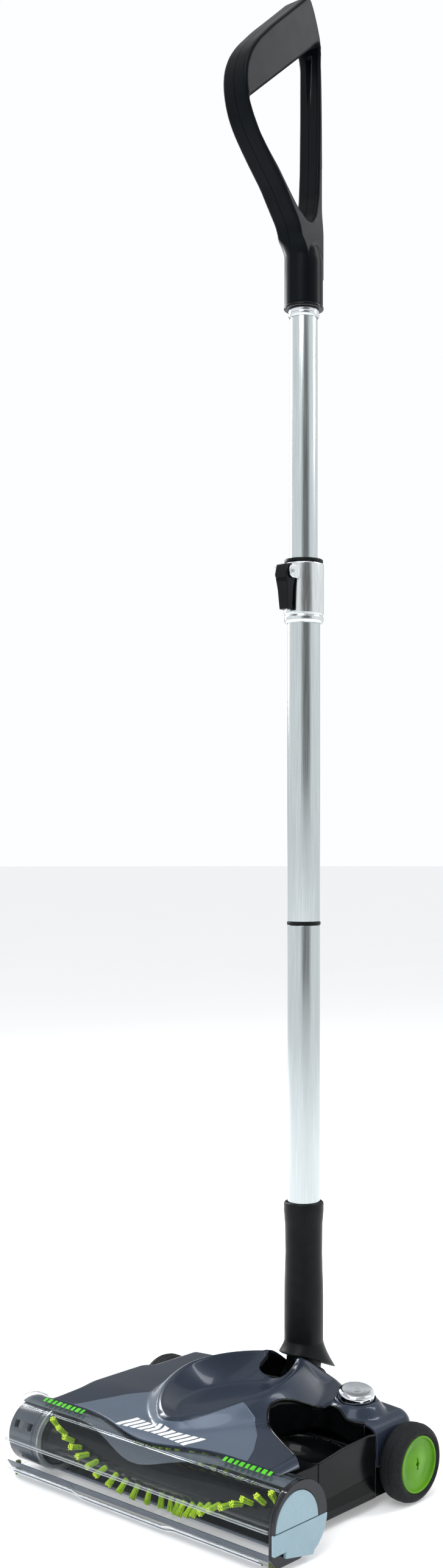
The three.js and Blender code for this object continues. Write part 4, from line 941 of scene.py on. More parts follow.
def bonnet_points(u, v):
    """The bonnet's outer face; its edge curls down into a wall at the sides and the rear."""
    t = 2 * u - 1
    spread = 0.55 * t + 0.45 * t**3
    front = bonnet_front(0)
    path_y = front + (BODY_REAR + EDGE_RUN - front) * v
    middle = 1 - smooth((np.abs(spread) * BODY_LEFT - 20) / 30)
    flat_y = np.minimum(path_y, mix(BODY_REAR, REAR_MIDDLE, middle) - CURL_R)
    half = body_half(np.where(t < 0, BODY_LEFT, BODY_RIGHT), flat_y)
    path_x = np.abs(spread) * (half + EDGE_RUN - CURL_R)
    flat_x = np.minimum(path_x, half - CURL_R)
    over_x, over_y = path_x - flat_x, path_y - flat_y
    over = np.hypot(over_x, over_y)
    angle = np.minimum(over / CURL_R, np.pi / 2)
    drop = CURL_R * (1 - np.cos(angle)) + np.maximum(0, over - CURL_R * np.pi / 2)
    reach = CURL_R * np.sin(angle) / np.maximum(over, 1e-9)
    x = np.sign(t) * (flat_x + over_x * reach)
    y = flat_y + over_y * reach
    return np.stack([x, y, bonnet_height(x, y) - drop], axis=-1)


def spline(points, steps):
    """A centripetal curve through the points, as the recess outline in the CAD model is."""
    p = [Vector(q) for q in points]
    p = [2 * p[0] - p[1], *p, 2 * p[-1] - p[-2]]
    made = []
    for k in range(steps + 1):
        place = k / steps * (len(points) - 1)
        i = min(int(place), len(points) - 2)
        a, b, c, d = p[i : i + 4]
        knots = [0.0]
        for first, second in ((a, b), (b, c), (c, d)):
            knots.append(knots[-1] + (second - first).length ** 0.5)
        t = knots[1] + (knots[2] - knots[1]) * (place - i)

        def between(lo, hi, start, end):
            return lo * ((end - t) / (end - start)) + hi * ((t - start) / (end - start))

        ab = between(a, b, knots[0], knots[1])
        bc = between(b, c, knots[1], knots[2])
        cd = between(c, d, knots[2], knots[3])
        abc, bcd = between(ab, bc, knots[0], knots[2]), between(bc, cd, knots[1], knots[3])
        made.append(between(abc, bcd, knots[1], knots[2]))
    return made


RECESS_EDGE = spline(RECESS, 120)


def from_outline(x, y, outline):
    """Signed distance from a closed outline: negative inside."""
    points = np.array([p[:2] for p in outline])
    nearest = np.full(len(x), 1e9)
    inside = np.zeros(len(x), bool)
    for (ax, ay), (bx, by) in zip(points, np.roll(points, -1, axis=0)):
        dx, dy = bx - ax, by - ay
        t = np.clip(((x - ax) * dx + (y - ay) * dy) / (dx * dx + dy * dy), 0, 1)
        nearest = np.minimum(nearest, np.hypot(x - ax - t * dx, y - ay - t * dy))
        if dy:
            inside ^= ((ay > y) != (by > y)) & (x < ax + (y - ay) * dx / dy)
    return np.where(inside, -nearest, nearest)


def rounded_slot(x, y):
    """Distance outside the slot that the neck swings in, with round front corners."""
    dx = np.abs(x) - SLOT_HALF + SLOT_CORNER
    dy = SLOT_FRONT + SLOT_CORNER - y
    return np.hypot(np.maximum(dx, 0), np.maximum(dy, 0)) + np.minimum(np.maximum(dx, dy), 0) - SLOT_CORNER


def button_distance(x, y, z):
    """Distance from the button's own axis."""
    axis = np.array(BUTTON_TURN @ Vector((0, 0, 1)))
    offset = np.stack([x, y, z], axis=-1) - np.array(BUTTON_AT)
    return np.linalg.norm(offset - np.outer(offset @ axis, axis), axis=1)


def trim_bonnet(bm):
    """Cuts the bonnet's sheet to the housing, recess, slot, skirt, axles and button."""
    clip(bm, behind_front(0.3))
    clip(bm, lambda x, y, z: z - SKIRT_Z)
    clip(bm, lambda x, y, z: from_outline(x, y, RECESS_EDGE))
    clip(bm, lambda x, y, z: rounded_slot(x, y))
    clip(bm, lambda x, y, z: np.maximum(np.maximum(105 - np.abs(x), y - HOOD_REAR - 0.3), z - 53))
    clip(bm, lambda x, y, z: np.hypot(y - WHEEL_Y, z - WHEEL_R) - AXLE_HOLE_R)
    return clip(bm, lambda x, y, z: button_distance(x, y, z) - BUTTON_R - 0.7)


def make_bonnet():
    bm = trim_bonnet(surface(bonnet_points, 330, 270))
    sheet_piece("bonnet", bm, SHELL_WALL, "slate", "head", ["top_shell"], 0, sharp=48)


def above_bonnet(raised):
    """The bonnet's outer face lifted a little, as a function for surface()."""

    def points(u, v):
        made = bonnet_points(u, v)
        made[:, 2] += raised
        return made

    return points


TONGUE_Y = (-176, -144, -126, -111)
TONGUE_HALF = (96, 79, 66, 50)  # half of the tongue's width at each of those Y


def make_tongue():
    """The paler fan between the window and the dish, laid on the bonnet."""
    bm = clip(surface(above_bonnet(0.35), 300, 240), behind_front(0.5))
    clip(bm, lambda x, y, z: np.interp(y, TONGUE_Y, TONGUE_HALF) - np.abs(x))
    clip(bm, lambda x, y, z: TONGUE_Y[-1] + 0.5 - y)
    clip(bm, lambda x, y, z: (dish_reach(x, y) - 1.075) * 40)
    sheet_piece("bonnet_tongue", bm, 1.2, "slate_light", "head", round_by=0, slot="slate_shell", sharp=48)


MARK = {"x": 2.5, "y": -158.5, "tall": 10.5, "bar": 4.1, "pitch": 6.4, "bars": 11, "lean": 0.35}


def make_mark():
    """A plain row of slanted bars printed on the tongue, taller towards both ends."""
    pitch, half = MARK["pitch"], MARK["bars"] / 2

    def bar(x, y, z):
        step = (x - MARK["x"] - MARK["lean"] * (y - MARK["y"])) / pitch
        aside = np.abs(step - np.round(step)) * pitch
        return np.minimum(MARK["bar"] / 2 - aside, (half - np.abs(step)) * pitch)

    def height(x, y, z):
        outer = np.minimum(1, np.abs(x - MARK["x"]) / (half * pitch))
        return MARK["tall"] / 2 * (1 + 0.6 * outer**1.5) - np.abs(y - MARK["y"])

    bm = clip(surface(above_bonnet(0.6), 420, 360), height)
    clip(bm, bar)
    sheet_piece("bonnet_mark", bm, 0.4, "white", "head", round_by=0, slot="slate_shell", sharp=48)


def closed_patch(low, high, rows, columns):
    """A thin closed body between two matching grids."""
    points = np.concatenate([low, high])
    count = rows * columns
    lower = grid_faces(rows, columns)
    faces = [tuple(reversed(f)) for f in lower] + [tuple(i + count for i in f) for f in lower]
    edge = [*range(columns), *(j * columns + columns - 1 for j in range(1, rows)),
            *((rows - 1) * columns + i for i in range(columns - 2, -1, -1)),
            *(j * columns for j in range(rows - 2, 0, -1))]
    faces += [(a, b, b + count, a + count) for a, b in zip(edge, edge[1:] + edge[:1])]
    return points, faces


DASHES = {"from": 72, "pitch": 5.1, "count": 9, "wide": (2.6, 3.6), "tall": 5.2, "slant": 1.6, "inset": 4.6}


def dash(middle, wide):
    """A slanted patch that lies on the window, a little forward of its wavy edge."""
    u, v = (a.ravel() for a in np.meshgrid(np.linspace(-0.5, 0.5, 4), np.linspace(-0.5, 0.5, 8)))
    x = middle + u * wide - v * DASHES["slant"]
    forward = bonnet_front(middle) - DASHES["inset"] + v * DASHES["tall"] - BRUSH_Y
    up = np.sqrt(np.maximum(HOUSING_R**2 - forward**2, 0))
    outwards = np.stack([np.zeros_like(x), forward, up], axis=-1) / HOUSING_R
    low = np.stack([x, np.full_like(x, BRUSH_Y), np.full_like(x, BRUSH_Z)], axis=-1) + outwards * HOUSING_R
    return closed_patch(low + outwards * 0.05, low + outwards * 0.4, 8, 4)


def make_window_print():
    """Plain slanted dashes on each end of the window's frosted band."""
    for side, name in ((-1, "left"), (1, "right")):
        dashes = [dash(side * (DASHES["from"] + DASHES["pitch"] * k), DASHES["wide"][k % 2])
                  for k in range(DASHES["count"])]
        joined(f"window_print_{name}", dashes, "print", "head", slot="clear_window")


def tube_along(path, radius, sides=12):
    """A round bead along a path that is nowhere upright."""
    path = [Vector(p) for p in path]
    points = []
    for before, at, after in zip(path[:1] + path[:-1], path, path[1:] + path[-1:]):
        along = (after - before).normalized()
        side = along.cross(Vector((0, 0, 1))).normalized()
        up = side.cross(along)
        for k in range(sides):
            a = FULL_TURN * k / sides
            points.append(at + side * radius * math.cos(a) + up * radius * math.sin(a))
    return points, rod_faces(len(path), sides)


def on_bonnet(x, y, raised=0.0):
    return float(bonnet_height(np.array([float(x)]), np.array([float(y)]))[0]) + raised


def hung_wall(edge, foot, rows):
    """A wall that hangs from an edge of (x, y, z) points down to the height foot, as a bmesh."""
    points = [(x, y, mix(top, foot, j / rows)) for j in range(rows + 1) for x, y, top in edge]
    return open_grid(points, len(edge), rows + 1)


RECESS_RIGHT, RECESS_FOOT, SLOT_REAR, SLOT_FOOT = 107, 44.8, 4, 42


def make_recess():
    """The black lining that drops from the bonnet's edge round the recess, with a bead along its top."""
    edge = [(p.x, p.y, on_bonnet(p.x, p.y, -0.5)) for p in RECESS_EDGE if p.x <= RECESS_RIGHT]
    points, faces = tube_along(edge, 1.1)
    piece("recess_bead", points, faces, "black", "head", slot="black_gloss")
    wall = hung_wall(edge, RECESS_FOOT, 8)
    sheet_piece("recess_wall", wall, 1.6, "black", "head", ["recess_liner"], 0, inwards=False, sharp=50)


def make_slot_lining():
    """Walls of the pocket that the neck swings in, and a sloped facet at its front."""
    side, front = SLOT_HALF - SLOT_CORNER, SLOT_FRONT + SLOT_CORNER
    plan = [(-SLOT_HALF, SLOT_REAR), *arc((-side, front), SLOT_CORNER, 180, 270, 8),
            *arc((side, front), SLOT_CORNER, 270, 360, 8), (SLOT_HALF, SLOT_REAR)]
    edge = [(x, y, on_bonnet(x * 1.02, y - 0.3, -0.4)) for x, y in spread_evenly(plan, 60)]
    wall = hung_wall(edge, SLOT_FOOT, 6)
    sheet_piece("slot_lining", wall, 1.2, "black", "head", round_by=0, slot="black_gloss", sharp=50)
    facet = [(SLOT_FRONT + 0.4, 46), (SLOT_FRONT + 0.4, 66), (SLOT_FRONT + 3, 66.5), (-21, 51), (-21, 46)]
    slab("slot_facet", facet, -SLOT_HALF + 0.4, SLOT_HALF - 0.4, "black_panel", "head", round_by=0.8,
         slot="black_gloss")


def spread_evenly(points, count):
    """A polyline resampled at equal steps."""
    p = np.array(points, float)
    run = np.concatenate([[0], np.cumsum(np.linalg.norm(np.diff(p, axis=0), axis=1))])
    at = np.linspace(0, run[-1], count)
    return np.stack([np.interp(at, run, p[:, k]) for k in range(p.shape[1])], axis=-1)


# ---------- Dirt tray and side panel ----------

TRAY_LOW, TRAY_HIGH = box("dirt_tray")
TRAY_FRONT, TRAY_REAR, TRAY_TOP = TRAY_LOW.y, -60, 44
TRAY_LEFT, TRAY_END, TRAY_SCOOP = TRAY_LOW.x, TRAY_HIGH.x, 40
TRAY_FLOOR, TRAY_MOUTH = 9.5, 17
TRAY_WALL = 2
FACE_REAR = -54
PANEL_CORNER = {"x": 93, "y": -150, "z": 46.3}  # of the wedge cut from the side panel's inner side
BOWL = {"x": 34, "y": 23, "depth": 17}


def bowl_height(x, y):
    """Top of the tray's outer end: flat, with an oval scoop for the fingers."""
    middle_x, middle_y = (TRAY_SCOOP + TRAY_END) / 2 - 1, (TRAY_FRONT + TRAY_REAR) / 2
    reach = np.hypot((x - middle_x) / BOWL["x"], (y - middle_y) / BOWL["y"])
    dip = BOWL["depth"] * np.sqrt(np.maximum(1 - reach**2, 0))
    lip = 1.2 * np.exp(-(((reach - 1.04) / 0.05) ** 2))
    return TRAY_TOP - 1.4 - soft_max(dip, 0 * dip, 1) + lip


def make_tray():
    """The tray's scooped end and its walls."""
    inner_end = TRAY_END - 2.5

    def top(u, v):
        x = mix(TRAY_SCOOP, TRAY_END - 2.4, u)
        y = mix(TRAY_FRONT + 0.3, TRAY_REAR - 0.3, v)
        return np.stack([x, y, bowl_height(x, y)], axis=-1)

    scoop = surface(top, 120, 96)
    sheet_piece("tray_scoop", scoop, TRAY_WALL, "black", "tray", ["dirt_tray"], 0, sharp=50)
    low, high, wall = TRAY_FLOOR, TRAY_TOP - 1, TRAY_WALL
    panels = [
        (TRAY_LEFT, inner_end, TRAY_FRONT, TRAY_REAR, low, low + wall),
        (TRAY_LEFT, inner_end, TRAY_REAR - wall, TRAY_REAR, low, high),
        (TRAY_LEFT, TRAY_LEFT + wall, TRAY_FRONT, TRAY_REAR, low, high),
        (TRAY_LEFT, TRAY_SCOOP - wall, TRAY_FRONT, TRAY_FRONT + wall, low, TRAY_MOUTH),
        (TRAY_SCOOP - wall, inner_end, TRAY_FRONT, TRAY_FRONT + wall, low, high),
        (TRAY_SCOOP - wall, TRAY_SCOOP, TRAY_FRONT, TRAY_REAR, low, high),
    ]
    for k, sides in enumerate(panels):
        soften(piece(f"tray_panel_{k + 1}", *block(*sides), "black", "tray", slot="black_gloss"), 0.7)


def make_tray_face():
    """The tray's outer face, and the matt strip along its foot."""
    face = [(TRAY_FRONT, 7.5), (FACE_REAR, 7.5), (FACE_REAR, 52.6), (-62, 54), (-90, 53), (-107, 51),
            (TRAY_FRONT, 49.5)]
    slab("tray_face", fillet(face, 1.5, 3), TRAY_END - 2.2, TRAY_END, "black", "tray", round_by=1.0,
         slot="black_gloss")
    front, rear = TRAY_FRONT + 2.5, FACE_REAR - 2.5
    strip = fillet([(front, 13), (rear, 13), (rear, 25), (front, 22)], 2, 4)
    slab("tray_face_strip", strip, TRAY_END - 0.3, TRAY_END + 0.35, "black_panel", "tray", round_by=0.3,
         slot="black_gloss")


def make_side_panel():
    """The fixed black panel between the housing and the tray, with its inner corner cut off."""
    low, high = box("side_panel_right")
    hollow_r = HOUSING_R + 1
    arc_from = math.degrees(math.asin((low.z - BRUSH_Z) / hollow_r))
    arc_to = math.degrees(math.asin((high.z - BRUSH_Z) / hollow_r))
    outline = [*arc((BRUSH_Y, BRUSH_Z), hollow_r, arc_from, arc_to, 14), (high.y, high.z), (high.y, low.z)]
    made = slab("side_panel_black", outline, low.x, high.x, "black", "head", ["side_panel_right"], round_by=0)
    inner, x, y = low.x - 5, PANEL_CORNER["x"], PANEL_CORNER["y"]
    wedge = [(*at, z) for z in (0, PANEL_CORNER["z"]) for at in ((inner, y), (x, y), (inner, high.y + 1))]
    cut(made, [(wedge, [(0, 2, 1), (3, 4, 5), (0, 1, 4, 3), (1, 2, 5, 4), (2, 0, 3, 5)])])
    soften(made, 0.9)


# ---------- Wheels ----------


HUB_R = 20.2
HUB_SLOT = {"half": 4.2, "wide": 1.4, "deep": 3.4}
TREAD_AT = (0.42, 0.62)  # of the tyre's width


def make_wheel(side, name):
    """A tyre with two raised rings round it, and a hub with a slot across its middle."""
    low, high = box(f"wheel_tyre_{name}")
    x0, width = low.x if side > 0 else high.x, high.x - low.x
    body, middle, r, hub_r = f"wheel_{name}", (0, WHEEL_Y, WHEEL_R), WHEEL_R, HUB_R

    def out(profile):
        return [(radius, x0 + side * reach) for radius, reach in profile]

    tyre = [(hub_r + 0.3, 0), (r - 3.5, 0), (r - 1, 1.2), (r, 4), (r, width - 5), (r - 1.2, width - 1.8),
            (r - 4, width), (r - 5.4, width), (r - 5.8, width - 0.5), (hub_r + 0.3, width - 0.6)]
    turned(f"wheel_tyre_{name}_rubber", out(tyre), "tyre", body, [f"wheel_tyre_{name}"], "X", middle, 1.2,
           120)
    hub = [(3.1, 1), (hub_r, 1), (hub_r, width - 0.7), (hub_r - 1, width - 0.4), (hub_r - 1.7, width - 0.9),
           (hub_r - 2.1, width - 2.8), (13, width - 3.6), (8, width - 2.9), (4.5, width - 2.2),
           (1.6, width - 2.0), (1.6, width - 4.5), (3.1, width - 4.5)]
    made = turned(f"wheel_hub_{name}_lime", out(hub), "green", body, [f"wheel_hub_{name}"], "X", middle, 0.45,
                  120)
    reach = sorted((x0 + side * (width - HUB_SLOT["deep"]), x0 + side * (width + 1)))
    wide, half = HUB_SLOT["wide"] / 2, HUB_SLOT["half"]
    cut(made, [block(*reach, WHEEL_Y - wide, WHEEL_Y + wide, r - half, r + half)])
    tread = []
    for share in TREAD_AT:
        at = x0 + side * width * share
        ring = [(r, at - 0.8), (r + 0.25, at - 0.5), (r + 0.25, at + 0.5), (r, at + 0.8), (r - 0.6, at)]
        tread.append(lathe_points(ring, 120, "X", middle))
    joined(f"wheel_tread_{name}", tread, "tyre", body, slot="tyre_black")


def make_wheels():
    make_wheel(1, "right")
    make_wheel(-1, "left")


# ---------- Power button ----------


def on_button(points):
    return np.asarray(points) @ np.array(BUTTON_TURN).T + np.array(BUTTON_AT)


def turned_on_button(name, profile, finish, body, replaces=(), round_by=0.4, **more):
    points, faces = lathe_points(fillet(profile, round_by), 96)
    return piece(name, on_button(points), faces, finish, body, replaces, **more)


def make_button():
    """The chrome cap with its shallow crown, and the bonnet's raised seat round it."""
    r = BUTTON_R
    cap = [(0, -5), (r - 2, -5), (r - 2, -9), (r, -9), (r, 5), (r - 0.5, 6), (r - 1.6, 7), (r - 3, 7.4),
           (r - 4.2, 7.1), (r - 8, 6.7), (0, 6.5)]
    turned_on_button("power_button_chrome", cap, "chrome", "button", ["power_button"], 0.8)
    seat = [(r + 0.5, -2), (r + 2.3, -2), (r + 2.3, 0.1), (r + 1.5, 0.8), (r + 0.5, 0.4)]
    turned_on_button("button_seat", seat, "slate", "head", slot="slate_shell")


# ---------- Tilt joint and pole ----------

PIVOT_Z = 53
NECK_R, NECK_HALF, PIN_BORE_R, STALK_TOP = 13.5, 14, 2.6, 111.7
SLEEVE_R = 15.2
SLEEVE_LOW, SLEEVE_HIGH = 84, box("lower_sleeve")[1].z
TUBE_R = 12.7
TUBE_WALL = 1.5
UPPER_R = 10.7


def make_neck():
    """The barrel round the pivot pin and the stalk that the pole stands on."""
    barrel = [(PIN_BORE_R, -NECK_HALF), (NECK_R, -NECK_HALF), (NECK_R, NECK_HALF), (PIN_BORE_R, NECK_HALF)]
    turned("neck_barrel", barrel, "satin", "pole", ["neck"], "X", (0, 0, PIVOT_Z), 1.2)
    stalk = [(0, PIVOT_Z + 4), (NECK_R, PIVOT_Z + 4), (NECK_R, SLEEVE_LOW - 0.3), (TUBE_R, SLEEVE_LOW - 0.3),
             (TUBE_R, STALK_TOP), (0, STALK_TOP)]
    turned("neck_stalk", stalk, "satin", "pole", slot="black_satin")


SKIRT_FRONT_R, SKIRT_REAR_R = 20.4, 28
SKIRT_FRONT_Z, SKIRT_TAIL_Z = 80, 61
SKIRT_WALL, SKIRT_SQUEEZE = 2.2, 0.86


def make_grip():
    """The waisted grip over the foot of the pole."""
    bore = TUBE_R + 0.3
    grip = [(bore, SLEEVE_LOW), (SLEEVE_R, SLEEVE_LOW), (SLEEVE_R, 120), (SLEEVE_R - 0.3, 134),
            (SLEEVE_R - 0.9, 154), (SLEEVE_R - 0.6, 176), (SLEEVE_R + 0.3, SLEEVE_HIGH - 7),
            (SLEEVE_R + 0.3, SLEEVE_HIGH - 1.2), (SLEEVE_R - 0.6, SLEEVE_HIGH), (bore, SLEEVE_HIGH)]
    turned("sleeve_grip", grip, "satin", "pole", ["lower_sleeve"], round_by=1.2)


def make_skirt():
    """The skirt below the grip: it flares out and down into a tail at the rear, and its lip is rolled."""
    columns, rows, lip_steps = 120, 14, 8
    angles = FULL_TURN * np.arange(columns) / columns
    back = (1 + np.sin(angles)) / 2
    rim_r = mix(SKIRT_FRONT_R, SKIRT_REAR_R, back**2)
    rim_z = mix(SKIRT_FRONT_Z, SKIRT_TAIL_Z, back**1.5)

    def ring(v, inset):
        r = mix(SLEEVE_R - 0.2, rim_r, v**1.5) - inset
        squeeze = mix(1, SKIRT_SQUEEZE, v)
        z = mix(SLEEVE_LOW + 3.6, rim_z, v)
        return np.stack([r * np.cos(angles) * squeeze, r * np.sin(angles), z], axis=-1)

    rings = [ring(v, 0) for v in np.linspace(0, 1, rows)]
    for k in range(1, lip_steps):
        a = math.pi * k / lip_steps
        edge = ring(1, SKIRT_WALL * (1 - math.cos(a)) / 2 - 0.9 * math.sin(a))
        edge[:, 2] -= 1.2 * math.sin(a)
        rings.append(edge)
    rings += [ring(v, SKIRT_WALL * mix(0.4, 1, v)) for v in np.linspace(1, 0, rows)]
    faces = grid_faces(len(rings), columns, True, True)
    piece("sleeve_skirt", np.concatenate(rings), faces, "satin", "pole", slot="black_satin")


def make_tubes():
    """The three drawn tubes, the black ring where the lower two join, and the ferrule under the handle."""
    for node, radius in (("lower_tube", TUBE_R), ("mid_tube", TUBE_R), ("upper_tube", UPPER_R)):
        low, high = box(node)
        inner = radius - TUBE_WALL
        profile = [(inner, low.z), (radius, low.z), (radius, high.z), (inner, high.z)]
        turned(f"{node}_drawn", profile, "aluminium", BODY_OF[node], [node], round_by=0.3)
    low, high = box("tube_connector")
    plug = TUBE_R - TUBE_WALL - 0.3
    joint = box("lower_tube")[1].z + 0.3
    connector = [(plug - 2, low.z), (plug, low.z), (plug, joint), (TUBE_R + 0.45, joint),
                 (TUBE_R + 0.45, joint + 2.4), (plug, joint + 2.4), (plug, high.z), (plug - 2, high.z)]
    turned("tube_joint_ring", connector, "satin", "pole", ["tube_connector"], round_by=0.5)
    low, high = box("handle_ferrule")
    ferrule = [(UPPER_R + 0.3, low.z), (11.2, low.z), (12, low.z + 1.6), (12, low.z + 3), (11.7, low.z + 3.4),
               (12, low.z + 3.8), (12, high.z), (UPPER_R + 0.3, high.z)]
    turned("ferrule_bright", ferrule, "chrome", "upper", ["handle_ferrule"], round_by=0.5)


COLLAR_R = 15.5
LEVER_Y, LEVER_Z, LEVER_HALF = -22.5, 682, 6.2


def make_collar():
    """The clamp collar with its two ears, and the black ring on its top."""
    low, high = box("clamp_collar")
    z0, z1 = low.z, high.z
    body = [(TUBE_R + 0.3, z0), (COLLAR_R - 1.4, z0), (COLLAR_R - 0.2, z0 + 2), (COLLAR_R - 0.2, z0 + 5),
            (COLLAR_R - 0.9, z0 + 5.6), (COLLAR_R - 0.9, z0 + 6.6), (COLLAR_R, z0 + 7.2), (COLLAR_R, z1 - 1),
            (COLLAR_R - 0.8, z1), (UPPER_R + 0.3, z1), (UPPER_R + 0.3, z1 - 3), (TUBE_R + 0.3, z1 - 3)]
    turned("clamp_collar_bright", body, "collar", "pole", ["clamp_collar"], round_by=0.5)
    ear = [(-25, LEVER_Z - 5), (-25, LEVER_Z + 5), (-13.6, LEVER_Z + 5), (-13.6, LEVER_Z - 5)]
    rounded = fillet(ear, 3.5, 6)
    for x0, name in ((-8.6, "left"), (6.6, "right")):
        slab(f"collar_ear_{name}", rounded, x0, x0 + 2, "collar", "pole", slot="collar_aluminium")
    low, high = box("collar_ring")
    ring = [(UPPER_R + 0.3, low.z), (COLLAR_R - 0.4, low.z), (COLLAR_R - 0.4, high.z - 0.6),
            (COLLAR_R - 1.2, high.z), (UPPER_R + 0.3, high.z)]
    turned("collar_ring_black", ring, "satin", "pole", ["collar_ring"], round_by=0.4)


def make_lever():
    """A faceted wedge: a wide head round the pin, drawn down to a narrower finger end."""
    y, z = LEVER_Y, LEVER_Z
    outline = [
        (y + 5.9, z - 4.4), (y + 6.1, z + 1), (y + 3.9, z + 5), (y + 1, z + 6.4), (y - 2.8, z + 5.8),
        (y - 5.1, z - 2), (y - 2.5, z - 14), (y - 1.5, z - 28.8), (y + 3.4, z - 29.2), (y + 4.1, z - 12),
    ]
    made = slab("cam_lever_faceted", outline, -LEVER_HALF, LEVER_HALF, "black", "lever", ["cam_lever"],
                round_by=0)
    for v in made.data.vertices:
        layout_z = v.co.z / MM
        v.co.x = LAYOUT.x + (v.co.x - LAYOUT.x) * mix(0.7, 1, min(1, max(0, (layout_z - z + 29) / 30)))
    soften(made, 0.7)
    rib = [(y - 4.9, z - 4.6), (y - 4.2, z - 8), (y - 3.5, z - 8), (y - 3.5, z - 4.6)]
    slab("cam_lever_rib", rib, -4.4, 4.4, "black_panel", "lever", round_by=0.25, slot="black_satin")


# ---------- Handle ----------

HANDLE_LOW = box("handle_left")[0].z
STEM_R = 15
GRIP_HALF, STRUT_HALF = 12, 10.3
# The loop's outer and inner edge in Y and Z: up the curved grip, over the tip and down the strut
LOOP = [
    (-14, 912), (-15.5, 932), (-20, 949), (-30, 962), (-39, 974.5), (-51, 987), (-60, 997),
    (-68, 1006.5), (-74.5, 1017), (-78.3, 1029), (-79.8, 1040), (-78.8, 1051), (-74, 1063),
    (-66, 1074), (-49, 1091), (-31, 1107), (-15.5, 1121), (-9, 1127), (-4.5, 1126), (-0.5, 1119),
    (4, 1108), (7.8, 1096), (9.6, 1084), (10.6, 1066), (11, 1040), (11.4, 1000), (12.3, 956),
    (14, 930), (14, 912),
]
HOLE = [
    (-74.6, 1027), (-69, 1016), (-62, 1005), (-52.5, 995), (-42, 985.5), (-31, 973.5), (-20, 962),
    (-9, 954.5), (-3, 954.5), (1.5, 962), (4.4, 976), (5.6, 1000), (6.2, 1040), (6.3, 1086),
    (4.6, 1095),
]
GROOVE = {"low": 964, "high": 1088, "half": 2.5, "depth": 1.9}
STRUT_FACE = ((954, 976, 1000, 1040, 1088), (-3, 4.4, 5.6, 6.2, 6.3))  # heights, and Y of its front there


def flat_solid(outlines, half, round_by):
    """A plate from outlines in Y and Z, the first one its edge and the rest holes, with rounded edges."""
    curve = bpy.data.curves.new("plate", "CURVE")
    curve.dimensions = "2D"
    curve.fill_mode = "BOTH"
    curve.extrude = (half - round_by) * MM
    curve.bevel_depth = round_by * MM
    curve.bevel_resolution = 5
    curve.offset = -round_by * MM
    for outline in outlines:
        line = curve.splines.new("POLY")
        line.points.add(len(outline) - 1)
        for point, (y, z) in zip(line.points, outline):
            point.co = (y * MM, z * MM, 0, 1)
        line.use_cyclic_u = True
    temporary = add("plate", curve)
    graph = bpy.context.evaluated_depsgraph_get()
    mesh = bpy.data.meshes.new_from_object(temporary.evaluated_get(graph))
    bpy.data.objects.remove(temporary)
    bpy.data.curves.remove(curve)
    turn = Matrix(((0, 0, 1, LAYOUT.x), (1, 0, 0, LAYOUT.y), (0, 1, 0, 0), (0, 0, 0, 1)))
    mesh.transform(turn)
    return mesh


def half_of(mesh, side):
    """The part of a mesh on one side of the plane X = 0, closed across the cut, with a hairline gap."""
    gap = 0.2
    half = bmesh.new()
    half.from_mesh(mesh)
    everything = [*half.verts, *half.edges, *half.faces]
    at = (LAYOUT.x + side * gap * MM, 0, 0)
    made = bmesh.ops.bisect_plane(half, geom=everything, dist=1e-6, plane_co=at, plane_no=(-side, 0, 0),
                                  clear_outer=True)
    edges = [e for e in made["geom_cut"] if isinstance(e, bmesh.types.BMEdge) and len(e.link_faces) == 1]
    bmesh.ops.triangle_fill(half, edges=edges, use_beauty=True)
    made = bpy.data.meshes.new("handle")
    half.to_mesh(made)
    half.free()
    return made


def strut_groove():
    """A wedge that cuts the groove up the front of the strut, wider towards its top."""
    points = []
    for z, half in ((GROOVE["low"], 0.05), (GROOVE["high"], GROOVE["half"])):
        face = float(np.interp(z, *STRUT_FACE))
        front, rear = face - 3, face + GROOVE["depth"]
        points += [(-half, front, z), (half, front, z), (half, rear, z), (-half, rear, z)]
    return points, [(0, 1, 2, 3), (7, 6, 5, 4), (0, 4, 5, 1), (1, 5, 6, 2), (2, 6, 7, 3), (3, 7, 4, 0)]


def make_handle():
    """Loop and stem run into one skin, which is shaped and parted into two halves; and a lip at its foot."""
    body = add("handle_whole", weld(flat_solid([fillet(LOOP, 6, 4), fillet(HOLE, 2.6, 4)], GRIP_HALF, 2.2)))
    cut(body, [strut_groove()])
    stem = fillet([(0, HANDLE_LOW), (STEM_R, HANDLE_LOW), (STEM_R, 926), (STEM_R - 1.5, 934),
                   (STEM_R - 5, 942), (0, 948)], 2, 4)
    stem_mesh = weld(mesh_of("stem", *lathe_points(stem, 96)))
    both = bmesh.new()
    both.from_mesh(body.data)
    both.from_mesh(stem_mesh)
    both.to_mesh(body.data)
    both.free()
    fine = body.modifiers.new("fine", "REMESH")
    fine.mode = "VOXEL"
    fine.voxel_size = 0.75 * MM
    fine.use_smooth_shade = True
    settle = body.modifiers.new("settle", "SMOOTH")
    settle.factor = 0.5
    settle.iterations = 3
    apply_modifiers(body)
    shape_handle(body.data)
    for side, name in ((-1, "left"), (1, "right")):
        half = half_of(body.data, side)
        wrap(f"handle_{name}_shell", half, "handle", "upper", [f"handle_{name}"], sharp=50)
    whole = body.data
    bpy.data.objects.remove(body)
    bpy.data.meshes.remove(whole)
    bore, low = UPPER_R + 0.3, HANDLE_LOW - 0.2
    foot = [(bore, low), (STEM_R + 0.5, low), (STEM_R + 0.5, low + 1.6), (STEM_R - 0.5, low + 2.8),
            (bore, low + 2.8)]
    turned("handle_foot_lip", foot, "black", "upper", round_by=0.5, slot="handle_black")


